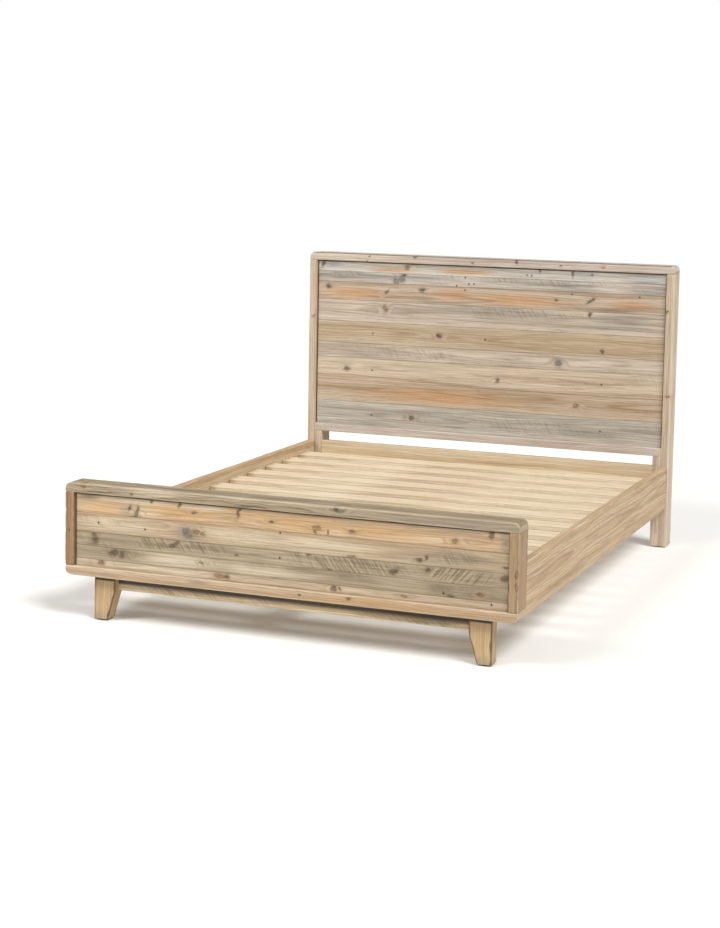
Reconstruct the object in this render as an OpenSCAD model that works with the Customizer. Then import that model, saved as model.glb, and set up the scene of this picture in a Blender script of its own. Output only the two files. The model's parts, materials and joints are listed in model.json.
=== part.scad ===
// Reclaimed-timber bed frame for a 1530 x 2030 mm mattress.
// +X is the sleeper's width, +Y runs from the foot to the head, +Z is up.
// The origin is on the floor, at the centre of the footprint.

/* [Overall] */
// Width over the head and foot frames
frame_w = 1640; // [1560:10:1720]
// Clear length between the head and foot frames
inner_l = 2050; // [1980:10:2120]
// Height of the headboard above the floor
head_h = 1185; // [1060:5:1300]
// Height of the footboard above the floor
foot_h = 485; // [440:5:560]
// Floor clearance under the footboard's box frame
foot_clear = 160; // [140:5:180]

/* [Frame boards] */
// Thickness of the boards in the head and foot frames
board_t = 34; // [28:1:40]
// Front-to-back depth of the head and foot frames
frame_d = 92; // [84:1:110]
// Radius of the rounded outer corners
corner_r = 22; // [12:1:28]
// Thickness of the panel planks
plank_t = 18; // [16:1:22]
// Set-back of the panel from the front of its frame
panel_recess = 12; // [8:1:16]
// Seam left between neighbouring planks
seam = 0.6; // [0.2:0.1:1.5]

/* [Side rails] */
// Thickness of a side rail
rail_t = 28; // [24:1:32]
// Height of the bottom edge of a side rail
rail_low = 163; // [150:1:180]
// Depth of a side rail
rail_depth = 180; // [150:5:200]

/* [Slats] */
// Number of slats
slat_n = 11; // [9:1:11]
// Width of a slat
slat_w = 90; // [70:5:100]
// Thickness of a slat
slat_t = 19; // [16:1:22]
// Height of the top of the slats, where the mattress lies
deck_z = 303; // [290:1:320]
// Depth of the ledger strips that carry the slat ends
ledger_h = 40; // [30:1:50]

/* [Legs] */
// Width of a footboard leg where it meets the frame
leg_top_w = 80; // [70:1:90]
// Width of a footboard leg at the floor
leg_foot_w = 50; // [40:1:60]
// Depth of a footboard leg
leg_d = 55; // [45:1:60]
// Height at which the taper starts
taper_z = 106; // [80:1:120]
// Inset of a footboard leg from the end of the footboard
leg_inset = 96; // [70:1:130]
// Bottom edge of the low apron between the footboard legs
apron_z = 108; // [95:1:130]

/* [Centre support] */
// Width of the centre beam
beam_w = 45; // [40:1:60]
// Depth of the centre beam
beam_h = 95; // [80:1:110]
// Distance of each support leg from the middle of the bed
support_y = 380; // [300:10:450]
// Width of a support leg
support_w = 65; // [60:1:80]
// Depth of a support leg along the bed
support_d = 60; // [50:1:80]

/* [Levelling feet] */
// Nominal thread diameter of a levelling stem
stem_d = 10; // [8:1:12]
// Radius of the pad that stands on the floor
pad_r = 20; // [16:1:26]

/* [Hidden] */
$fn = 48;
// Relative heights of the planks, from the top of each panel down
HEAD_PLANKS = [47, 47, 80, 94, 96, 66, 100, 95, 106];
FOOT_PLANKS = [69, 66, 49, 47, 26];
head_plank_n = len(HEAD_PLANKS);
foot_plank_n = len(FOOT_PLANKS);
glide_h = 4;
glide_r = 17;
running = 0.05;
fit_gap = 0.05;

half_w = frame_w / 2;
half_in = inner_l / 2;
inner_x = half_w - board_t;
head_back = half_in + frame_d;
foot_front = -half_in - frame_d;
rail_top = rail_low + rail_depth;

// The headboard's box frame stands on leg blocks glued inside its posts.
head_box_low = 386;
head_panel_low = head_box_low + board_t;
head_panel_top = head_h - board_t;
head_panel_front = half_in + panel_recess;
head_panel_back = head_panel_front + plank_t;

foot_panel_low = foot_clear + board_t;
foot_panel_top = foot_h - board_t;
foot_panel_front = foot_front + panel_recess;
foot_panel_back = foot_panel_front + plank_t;
foot_leg_out = half_w - leg_inset;
foot_leg_in = foot_leg_out - leg_top_w;
// The taper starts gently: its first stretch moves in by knee_x over knee_drop.
knee_x = 4;
knee_drop = 28;

batten_w = 45;
batten_t = 20;
head_batten_x = [-520, 0, 520];
foot_batten_x = [-400, 400];
stretcher_t = 35;
apron_t = 30;

ledger_t = 22;
ledger_top = deck_z - slat_t;
ledger_end = half_in - 62;
ledger_screw_margin = 60;
ledger_screw_shift = 12;
slat_end = inner_x - 2;
slat_gap = (inner_l - slat_n * slat_w) / (slat_n + 1);
slat_screw_x = inner_x - ledger_t / 2;
ledger_screw_n = 6;
ledger_screw_z = ledger_top - 24;

beam_low = ledger_top - beam_h;
hanger_t = 3;
beam_end = half_in - hanger_t - 1;
hanger_low = beam_low - hanger_t;
hanger_ear = 28;
hanger_h = 76;
hanger_cheek = 40;
hanger_x = beam_w / 2 + 0.3;
hanger_half = hanger_x + hanger_t + hanger_ear;
hanger_screw_x = hanger_x + hanger_t + 16;
hanger_screw_z = [hanger_low + 18, hanger_low + 58];

lap_t = 20;
lap_top = beam_low + 72;
support_low = 28;
support_x0 = -beam_w / 2;
support_x1 = support_x0 + support_w;
lap_screw_z = [beam_low + 20, beam_low + 52];
lap_screw_y = [-16, 16];

stem_r = stem_d / 2;
tip_r = 4;
tip_low = 4;
tip_top = 8.4;
hex_r = 9.8;
hex_h = 5;
stem_top = 67;
thread_pitch = 1.5;
thread_depth = 0.5;
nut_flange_t = 2.5;
nut_flange_r = 12;
nut_barrel_r = 7;
nut_barrel_h = 12;
stem_room_r = 6.5;
stem_room_top = 82;

bracket_t = 4;
bracket_low = 176;
bracket_h = 104;
bracket_arm_rail = 52;
bracket_arm_end = 33;
bolt_z = [bracket_low + 24, bracket_low + bracket_h - 24];
bolt_rail_y = half_in - 32;
bolt_end_x = inner_x - 20;
bolt_r = 4;
bracket_hole_r = 4.3;
bolt_l = 25;
bolt_head_r = 7;
bolt_head_h = 4.5;
bolt_hex_r = 2.9;

screw_r = 2;
screw_l = 35;
screw_head_r = 4;
screw_head_h = 2.2;

head_plank_names = [for (i = [1:head_plank_n]) str("head_plank_", i)];
foot_plank_names = [for (i = [1:foot_plank_n]) str("foot_plank_", i)];
slat_names = [for (i = [1:slat_n]) str("slat_", i)];

PALE = [0.80, 0.70, 0.56];
TAN = [0.74, 0.60, 0.44];
ORANGE = [0.78, 0.58, 0.38];
GREY = [0.60, 0.56, 0.49];
BROWN = [0.48, 0.38, 0.27];
PINE = [0.84, 0.74, 0.58];
STEEL = [0.62, 0.63, 0.65];
PLASTIC = [0.12, 0.12, 0.12];
PLANK_TONES = [GREY, GREY, ORANGE, GREY, TAN];

// ---- shared shapes ----------------------------------------------------

// Box between two corners
module block(low, high) {
    translate(low) cube(high - low);
}

// A copy of the children on the +X side and its mirror on the -X side
module both_sides() {
    for (m = [0, 1]) mirror([m, 0, 0]) children();
}

// Board along X with two rounded corners on its upper or its lower edge
module rounded_board(y0, z0, z1, top = true) {
    r = corner_r;
    translate([0, y0 + frame_d, 0]) rotate([90, 0, 0]) linear_extrude(frame_d) {
        translate([-half_w + r, z0]) square([frame_w - 2 * r, z1 - z0]);
        for (s = [-1, 1]) intersection() {
            translate([s * (half_w - r), top ? z1 - r : z0 + r]) circle(r, $fn = 64);
            translate([s > 0 ? half_w - r : -half_w, z0]) square([r, z1 - z0]);
        }
        translate([-half_w, top ? z0 : z0 + r]) square([frame_w, z1 - z0 - r]);
    }
}

// Sum of the first n numbers of a list
function first_sum(list, n) = n == 0 ? 0 : first_sum(list, n - 1) + list[n - 1];

// Height of the top edge of plank i, where plank 0 is the highest of the panel
function plank_top(shares, top, bottom, i) =
    top - (top - bottom) * first_sum(shares, i) / first_sum(shares, len(shares));

// Middle height of plank i
function plank_mid(shares, top, bottom, i) =
    (plank_top(shares, top, bottom, i) + plank_top(shares, top, bottom, i + 1)) / 2;

// Plank i of a panel, with a seam under every plank but the lowest
module panel_plank(shares, top, bottom, front, i) {
    low = plank_top(shares, top, bottom, i + 1) + (i < len(shares) - 1 ? seam : 0);
    high = plank_top(shares, top, bottom, i);
    block([-inner_x, front, low], [inner_x, front + plank_t, high]);
}

// Countersunk wood screw along -Z, its head flush with z = 0
module screw(extra = 0) {
    translate([0, 0, -screw_l - extra]) cylinder(r = screw_r + extra, h = screw_l, $fn = 24);
    translate([0, 0, -screw_head_h])
        cylinder(r1 = screw_r + extra, r2 = screw_head_r + extra, h = screw_head_h, $fn = 24);
}

// Button-head machine bolt along -Z, its head standing on z = 0
module bolt() {
    translate([0, 0, -bolt_l]) cylinder(r = bolt_r, h = bolt_l + 0.5, $fn = 32);
    difference() {
        cylinder(r1 = bolt_head_r, r2 = bolt_head_r - 2, h = bolt_head_h, $fn = 32);
        translate([0, 0, 1.8]) cylinder(r = bolt_hex_r, h = bolt_head_h, $fn = 6);
    }
}

module bolt_room(r = bolt_r + fit_gap) {
    translate([0, 0, -bolt_l - fit_gap]) cylinder(r = r, h = bolt_l + 1, $fn = 32);
}

// ---- fastener places --------------------------------------------------

function slat_y(i) = -half_in + i * slat_gap + (i - 0.5) * slat_w;

module at_slat_screws(i) {
    for (x = [-slat_screw_x, 0, slat_screw_x])
        translate([x, slat_y(i), deck_z]) children();
}

module at_ledger_screws() {
    first = ledger_screw_margin - ledger_end;
    step = -2 * first / (ledger_screw_n - 1);
    for (k = [0:ledger_screw_n - 1])
        translate([inner_x - ledger_t, first + k * step + ledger_screw_shift, ledger_screw_z])
            rotate([0, -90, 0]) children();
}

module at_head_batten_screws() {
    for (x = head_batten_x, i = [0:head_plank_n - 1])
        translate([x, head_panel_back + batten_t,
                   plank_mid(HEAD_PLANKS, head_panel_top, head_panel_low, i)])
            rotate([-90, 0, 0]) children();
}

module at_foot_batten_screws() {
    for (x = foot_batten_x, i = [0:foot_plank_n - 2])
        translate([x, foot_panel_back + batten_t,
                   plank_mid(FOOT_PLANKS, foot_panel_top, foot_panel_low, i)])
            rotate([-90, 0, 0]) children();
}

module at_hanger_screws() {
    for (m = [0, 1]) mirror([0, m, 0])
        for (s = [-1, 1], z = hanger_screw_z)
            translate([s * hanger_screw_x, half_in - hanger_t, z]) rotate([90, 0, 0]) children();
}

module at_lap_screws(y) {
    for (dy = lap_screw_y, z = lap_screw_z)
        translate([beam_w / 2 + lap_t, y + dy, z]) rotate([0, 90, 0]) children();
}

module at_rail_bolts() {
    for (m = [0, 1]) mirror([0, m, 0]) for (z = bolt_z)
        translate([inner_x - bracket_t, bolt_rail_y, z]) rotate([0, -90, 0]) children();
}

module at_end_bolts() {
    for (z = bolt_z) translate([bolt_end_x, half_in - bracket_t, z]) rotate([90, 0, 0]) children();
}

// ---- headboard --------------------------------------------------------

module head_cap() {
    color(PALE) rounded_board(half_in, head_h - board_t, head_h);
}

module head_post() {
    block([inner_x, half_in, glide_h], [half_w, head_back, head_h - board_t]);
}

module head_post_left() {
    color(PALE) mirror([1, 0, 0]) head_post();
}

module head_post_right() {
    color(TAN) head_post();
}

module head_lower_rail() {
    color(TAN) block([-inner_x, half_in, head_box_low], [inner_x, head_back, head_panel_low]);
}

module head_leg_block() {
    difference() {
        block([inner_x - board_t, half_in, glide_h], [inner_x, head_back, head_box_low]);
        at_end_bolts() bolt_room();
    }
}

module head_leg_block_left() {
    color(BROWN) mirror([1, 0, 0]) head_leg_block();
}

module head_leg_block_right() {
    color(BROWN) head_leg_block();
}

module head_plank(i) {
    color(PLANK_TONES[(i - 1) % len(PLANK_TONES)]) difference() {
        panel_plank(HEAD_PLANKS, head_panel_top, head_panel_low, head_panel_front, i - 1);
        at_head_batten_screws() screw(fit_gap);
    }
}

module head_battens() {
    color(PINE) difference() {
        for (x = head_batten_x)
            block([x - batten_w / 2, head_panel_back, head_panel_low],
                  [x + batten_w / 2, head_panel_back + batten_t, head_panel_top]);
        at_head_batten_screws() screw(fit_gap);
    }
}

module head_stretcher() {
    x = inner_x - board_t;
    color(PINE) difference() {
        block([-x, half_in, rail_low], [x, half_in + stretcher_t, rail_top]);
        at_hanger_screws() screw(fit_gap);
    }
}

// ---- footboard --------------------------------------------------------

module foot_cap() {
    color(PALE) rounded_board(foot_front, foot_panel_top, foot_h);
}

module foot_bottom_rail() {
    color(TAN) rounded_board(foot_front, foot_clear, foot_panel_low, top = false);
}

module foot_stile() {
    block([inner_x, foot_front, foot_panel_low], [half_w, -half_in, foot_panel_top]);
}

module foot_stile_left() {
    color(TAN) mirror([1, 0, 0]) foot_stile();
}

module foot_stile_right() {
    color(TAN) foot_stile();
}

module foot_plank(i) {
    color(PLANK_TONES[(i + 1) % len(PLANK_TONES)]) difference() {
        panel_plank(FOOT_PLANKS, foot_panel_top, foot_panel_low, foot_panel_front, i - 1);
        at_foot_batten_screws() screw(fit_gap);
    }
}

module foot_battens() {
    color(PINE) difference() {
        for (x = foot_batten_x)
            block([x - batten_w / 2, foot_panel_back, foot_panel_low],
                  [x + batten_w / 2, foot_panel_back + batten_t, foot_panel_top]);
        at_foot_batten_screws() screw(fit_gap);
    }
}

module foot_corner_blocks() {
    color(PINE) both_sides() difference() {
        block([inner_x - board_t, foot_panel_back, foot_panel_low],
              [inner_x, -half_in, foot_panel_top]);
        mirror([0, 1, 0]) at_end_bolts() bolt_room();
    }
}

module foot_stretcher() {
    x = inner_x - board_t;
    color(PINE) difference() {
        block([-x, -half_in - stretcher_t, foot_panel_low], [x, -half_in, ledger_top]);
        at_hanger_screws() screw(fit_gap);
    }
}

// Leg with a plumb outer side and an inner side that tapers to the floor
module foot_leg() {
    taper = leg_top_w - leg_foot_w;
    x_out = foot_leg_out;
    translate([0, -half_in, 0]) rotate([90, 0, 0]) linear_extrude(leg_d) polygon([
        [x_out, glide_h],
        [x_out, foot_clear],
        [foot_leg_in, foot_clear],
        [foot_leg_in, taper_z],
        [foot_leg_in + knee_x, taper_z - knee_drop],
        [foot_leg_in + taper, glide_h]
    ]);
}

module foot_leg_left() {
    color(TAN) mirror([1, 0, 0]) foot_leg();
}

module foot_leg_right() {
    color(TAN) foot_leg();
}

module foot_apron() {
    color(TAN) block([-foot_leg_in, -half_in - apron_t, apron_z], [foot_leg_in, -half_in, foot_clear]);
}

// ---- side rails and slats ---------------------------------------------

module side_rail() {
    difference() {
        block([inner_x, -half_in, rail_low], [inner_x + rail_t, half_in, rail_top]);
        at_ledger_screws() screw(fit_gap);
        at_rail_bolts() bolt_room();
    }
}

module side_rail_left() {
    color(TAN) mirror([1, 0, 0]) side_rail();
}

module side_rail_right() {
    color(TAN) side_rail();
}

module slat_ledger() {
    difference() {
        block([inner_x - ledger_t, -ledger_end, ledger_top - ledger_h],
              [inner_x, ledger_end, ledger_top]);
        at_ledger_screws() screw(fit_gap);
        for (i = [1:slat_n]) at_slat_screws(i) screw(fit_gap);
    }
}

module slat_ledger_left() {
    color(PINE) mirror([1, 0, 0]) slat_ledger();
}

module slat_ledger_right() {
    color(PINE) slat_ledger();
}

module slat(i) {
    y = slat_y(i);
    color(PINE) difference() {
        block([-slat_end, y - slat_w / 2, ledger_top], [slat_end, y + slat_w / 2, deck_z]);
        at_slat_screws(i) screw(fit_gap);
    }
}

// ---- centre support ---------------------------------------------------

module centre_beam() {
    color(PINE) difference() {
        block([-beam_w / 2, -beam_end, beam_low], [beam_w / 2, beam_end, ledger_top]);
        for (i = [1:slat_n]) at_slat_screws(i) screw(fit_gap);
        for (s = [-1, 1]) at_lap_screws(s * support_y) screw(fit_gap);
    }
}

// Folded steel stirrups that carry the two ends of the beam
module beam_hangers() {
    color(STEEL) for (m = [0, 1]) mirror([0, m, 0]) difference() {
        union() {
            block([-hanger_half, half_in - hanger_t, hanger_low],
                  [hanger_half, half_in, hanger_low + hanger_h]);
            both_sides() block([hanger_x, half_in - hanger_cheek, hanger_low],
                               [hanger_x + hanger_t, half_in, hanger_low + hanger_h]);
            block([-hanger_x, half_in - hanger_cheek, hanger_low], [hanger_x, half_in, beam_low]);
        }
        at_hanger_screws() screw(fit_gap);
    }
}

// Post under the beam, lapped against its +X side
module support_leg(y) {
    color(PINE) difference() {
        union() {
            block([support_x0, y - support_d / 2, support_low],
                  [support_x1, y + support_d / 2, beam_low]);
            block([beam_w / 2, y - support_d / 2, beam_low - 1],
                  [beam_w / 2 + lap_t, y + support_d / 2, lap_top]);
        }
        at_lap_screws(y) screw(fit_gap);
        translate([0, y, support_low - 1]) cylinder(r = stem_room_r, h = stem_room_top - support_low + 1);
        translate([0, y, support_low - 1])
            cylinder(r = nut_barrel_r + fit_gap, h = nut_barrel_h + 1 + fit_gap);
    }
}

module support_leg_head() {
    support_leg(support_y);
}

module support_leg_foot() {
    support_leg(-support_y);
}

// Flanged threaded inserts pressed into the bottom of the support legs
module leveller_nuts() {
    color(STEEL) for (s = [-1, 1]) translate([0, s * support_y, 0]) difference() {
        union() {
            translate([0, 0, support_low - nut_flange_t]) cylinder(r = nut_flange_r, h = nut_flange_t);
            translate([0, 0, support_low - 0.5]) cylinder(r = nut_barrel_r, h = nut_barrel_h + 0.5);
        }
        translate([0, 0, support_low - nut_flange_t - 1])
            cylinder(r = stem_r + running, h = nut_barrel_h + nut_flange_t + 2);
    }
}

// Stem with a hexagon for a spanner, its tip seated in the pad
module leveller_stem(y) {
    hex_low = tip_top;
    color(STEEL) translate([0, y, 0]) {
        translate([0, 0, tip_low + running]) cylinder(r = tip_r, h = hex_low - tip_low);
        translate([0, 0, hex_low]) cylinder(r = hex_r, h = hex_h, $fn = 6);
        translate([0, 0, hex_low + hex_h - 0.5]) rotate_extrude() polygon([
            [0, 0],
            [stem_r - thread_depth, 0],
            [stem_r - thread_depth, 2],
            for (z = [2:thread_pitch:stem_top - hex_low - hex_h - 2]) each [
                [stem_r, z + thread_pitch / 2],
                [stem_r - thread_depth, z + thread_pitch]
            ],
            [0, stem_top - hex_low - hex_h]
        ]);
    }
}

module leveller_stem_head() {
    leveller_stem(support_y);
}

module leveller_stem_foot() {
    leveller_stem(-support_y);
}

module leveller_pad(y) {
    color(PLASTIC) translate([0, y, 0]) rotate_extrude() polygon([
        [0, 0],
        [pad_r - 1, 0],
        [pad_r, 1],
        [pad_r, 3],
        [9, 8],
        [tip_r + running, 8],
        [tip_r + running, tip_low],
        [0, tip_low]
    ]);
}

module leveller_pad_head() {
    leveller_pad(support_y);
}

module leveller_pad_foot() {
    leveller_pad(-support_y);
}

// ---- hardware ---------------------------------------------------------

// Angle brackets in the four inner corners, below the slats
module rail_brackets() {
    y0 = half_in - bracket_arm_rail;
    color(STEEL) both_sides() for (m = [0, 1]) mirror([0, m, 0]) difference() {
        union() {
            block([inner_x - bracket_t, y0, bracket_low],
                  [inner_x, half_in, bracket_low + bracket_h]);
            block([inner_x - bracket_arm_end, half_in - bracket_t, bracket_low],
                  [inner_x, half_in, bracket_low + bracket_h]);
        }
        at_rail_bolts() bolt_room(bracket_hole_r);
        at_end_bolts() bolt_room(bracket_hole_r);
    }
}

module bracket_bolts() {
    color(STEEL) both_sides() {
        at_rail_bolts() bolt();
        for (m = [0, 1]) mirror([0, m, 0]) at_end_bolts() bolt();
    }
}

module wood_screws() {
    color(STEEL) {
        for (i = [1:slat_n]) at_slat_screws(i) screw();
        both_sides() at_ledger_screws() screw();
        at_head_batten_screws() screw();
        at_foot_batten_screws() screw();
        at_hanger_screws() screw();
        for (s = [-1, 1]) at_lap_screws(s * support_y) screw();
    }
}

// Nail-on glides under the head legs and the foot legs
module floor_glides() {
    head_x = half_w - board_t;
    foot_x = foot_leg_out - leg_foot_w / 2;
    color(PLASTIC) both_sides() {
        translate([head_x, half_in + frame_d / 2, 0]) cylinder(r = glide_r, h = glide_h);
        translate([foot_x, -half_in - leg_d / 2, 0]) cylinder(r = glide_r, h = glide_h);
    }
}

// ---- assembly ---------------------------------------------------------

head_cap();
head_post_left();
head_post_right();
head_lower_rail();
head_leg_block_left();
head_leg_block_right();
for (i = [1:head_plank_n]) head_plank(i);
head_battens();
head_stretcher();
foot_cap();
foot_bottom_rail();
foot_stile_left();
foot_stile_right();
for (i = [1:foot_plank_n]) foot_plank(i);
foot_battens();
foot_corner_blocks();
foot_stretcher();
foot_leg_left();
foot_leg_right();
foot_apron();
side_rail_left();
side_rail_right();
slat_ledger_left();
slat_ledger_right();
centre_beam();
beam_hangers();
support_leg_head();
support_leg_foot();
for (i = [1:slat_n]) slat(i);
rail_brackets();
bracket_bolts();
wood_screws();
floor_glides();
leveller_nuts();
leveller_stem_head();
leveller_stem_foot();
leveller_pad_head();
leveller_pad_foot();
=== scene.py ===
"""Looks for a queen-size bed frame in reclaimed pine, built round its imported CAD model.

Lengths are metres unless a name or comment says mm. X runs across the bed, +Y points to the headboard, +Z
is up, and the origin is on the floor under the middle of the bed. Each class below Joinery stands for one
sub-assembly: it builds the boards or the metal of its CAD nodes and dresses them.
"""

import json
import logging
import math
from dataclasses import dataclass, field
from enum import Enum
from typing import Callable, Sequence, Union

import bmesh
import bpy
import numpy as np
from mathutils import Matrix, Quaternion, Vector

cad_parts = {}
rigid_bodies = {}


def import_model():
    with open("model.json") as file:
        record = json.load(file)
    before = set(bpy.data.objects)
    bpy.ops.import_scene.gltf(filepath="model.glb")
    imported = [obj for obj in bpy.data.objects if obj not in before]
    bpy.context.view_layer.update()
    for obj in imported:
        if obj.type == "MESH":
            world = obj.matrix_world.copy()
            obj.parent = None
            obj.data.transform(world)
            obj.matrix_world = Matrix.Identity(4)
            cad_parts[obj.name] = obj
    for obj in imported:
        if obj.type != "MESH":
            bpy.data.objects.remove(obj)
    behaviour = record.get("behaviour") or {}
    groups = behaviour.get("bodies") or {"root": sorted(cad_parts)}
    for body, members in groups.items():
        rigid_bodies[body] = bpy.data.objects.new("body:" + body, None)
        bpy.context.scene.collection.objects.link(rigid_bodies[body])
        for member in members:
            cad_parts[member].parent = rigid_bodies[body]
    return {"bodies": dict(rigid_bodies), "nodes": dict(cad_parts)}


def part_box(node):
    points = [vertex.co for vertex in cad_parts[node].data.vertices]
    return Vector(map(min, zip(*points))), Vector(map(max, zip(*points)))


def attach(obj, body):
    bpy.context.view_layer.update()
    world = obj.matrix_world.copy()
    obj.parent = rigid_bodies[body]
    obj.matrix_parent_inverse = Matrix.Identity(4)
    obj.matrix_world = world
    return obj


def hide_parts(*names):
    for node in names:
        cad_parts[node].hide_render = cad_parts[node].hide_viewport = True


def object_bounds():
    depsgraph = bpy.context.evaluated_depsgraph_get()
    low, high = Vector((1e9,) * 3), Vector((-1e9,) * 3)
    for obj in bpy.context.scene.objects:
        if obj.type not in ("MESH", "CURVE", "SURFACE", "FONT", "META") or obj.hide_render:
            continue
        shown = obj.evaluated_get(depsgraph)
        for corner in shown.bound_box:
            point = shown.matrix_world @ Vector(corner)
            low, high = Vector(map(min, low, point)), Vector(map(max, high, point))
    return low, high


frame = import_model()
CAD_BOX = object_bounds()

log = logging.getLogger("bed_frame")
MM = 0.001
BODY = "frame"
THROUGH = 9.0  # reach of a mark that goes right through a board
WHOLE = 4000.0  # half width in mm of a mark that runs along a whole board
HOLE_EDGE = math.radians(40)  # edges of a drilled board that stay sharp
GOLDEN = 0.6180339  # step that spreads the boards' seeds evenly between 0 and 1

Number = Union[float, "Value"]
Insets = tuple[float, float, float, float]


class Axis(Enum):
    """The direction that a board's grain follows."""

    X = 0
    Y = 1
    Z = 2


class Mark(Enum):
    """What a place on a board's face shows."""

    KNOT = "dark brown ringed knot"
    RED = "reddish brown knot"
    SLATE = "blue-grey knot"
    GREY = "grey weathering"
    WARM = "honey-coloured heartwood"
    PALE = "bleached patch"
    SAW = "saw strokes"
    BACK_SAW = "saw strokes that lean the other way"
    # This mark is painted shade: it darkens corners, recesses and the strips under overhangs.
    GLAZE = "dark glaze that settled in a corner"
    NAIL = "nail hole"


class Drive(Enum):
    """The recess in a fastener's head."""

    CROSS = "cross"
    HEX = "hexagon socket"


Spots = dict[Mark, tuple[tuple[float, ...], ...]]


def tint(code: str) -> tuple[float, float, float, float]:
    """Turns a display colour into scene-linear RGBA.

    Args:
        code: the colour as #RRGGBB.

    Returns:
        Linear red, green, blue and an alpha of 1.
    """
    parts = [int(code[i:i + 2], 16) / 255 for i in (1, 3, 5)]
    linear = [c / 12.92 if c <= 0.04045 else ((c + 0.055) / 1.055) ** 2.4 for c in parts]
    return (*linear, 1.0)


# Node trees


class Nodes:
    """A node tree of any kind, with one method that adds a node."""

    def __init__(self, tree: bpy.types.NodeTree) -> None:
        """Keeps the tree."""
        self.tree = tree

    def node(self, kind: str, settings: dict | None = None, sockets: dict | None = None) -> bpy.types.Node:
        """Adds a node.

        Args:
            kind: the node's type name.
            settings: properties that are set first, such as an operation.
            sockets: input name or number to a constant, a socket or a Value.

        Returns:
            The new node.
        """
        made = self.tree.nodes.new(kind)
        for key, setting in (settings or {}).items():
            setattr(made, key, setting)
        for key, given in (sockets or {}).items():
            self.feed(made.inputs[key], given)
        return made

    def feed(self, socket: bpy.types.NodeSocket, given: object) -> None:
        """Links an input to a socket or a Value, or sets it to a constant."""
        given = given.socket if isinstance(given, Value) else given
        if isinstance(given, bpy.types.NodeSocket):
            self.tree.links.new(given, socket)
        else:
            socket.default_value = given


class Value:
    """A number that changes over a surface: one output socket whose arithmetic adds Math nodes."""

    def __init__(self, shader: "Shader", socket: bpy.types.NodeSocket) -> None:
        """Wraps a socket of a shader."""
        self.shader = shader
        self.socket = socket

    def _math(self, operation: str, *numbers: Number) -> "Value":
        """Adds one Math node and wraps its result."""
        made = self.shader.node("ShaderNodeMath", {"operation": operation}, dict(enumerate(numbers)))
        return Value(self.shader, made.outputs[0])

    def __add__(self, other: Number) -> "Value":
        """Sum."""
        return self._math("ADD", self, other)

    def __mul__(self, other: Number) -> "Value":
        """Product."""
        return self._math("MULTIPLY", self, other)

    def __sub__(self, other: Number) -> "Value":
        """Difference."""
        return self._math("SUBTRACT", self, other)

    def __truediv__(self, other: Number) -> "Value":
        """Quotient."""
        return self._math("DIVIDE", self, other)

    def __pow__(self, other: Number) -> "Value":
        """Power."""
        return self._math("POWER", self, other)

    def least(self, other: Number) -> "Value":
        """The smaller of two numbers."""
        return self._math("MINIMUM", self, other)

    def most(self, other: Number) -> "Value":
        """The larger of two numbers."""
        return self._math("MAXIMUM", self, other)

    def part(self) -> "Value":
        """What is left after the whole number."""
        return self._math("FRACT", self)

    def ramp(self, low: float, high: float, start: float = 0.0, end: float = 1.0) -> "Value":
        """Eases from start to end as the number goes from low to high.

        Args:
            low: the number that gives start. It may be above high, which turns the ramp round.
            high: the number that gives end.
            start: the result up to low.
            end: the result from high on.

        Returns:
            The eased number.
        """
        made = self.shader.node("ShaderNodeMapRange", {"interpolation_type": "SMOOTHSTEP"},
                                {0: self, 1: low, 2: high, 3: start, 4: end})
        return Value(self.shader, made.outputs[0])


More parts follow.
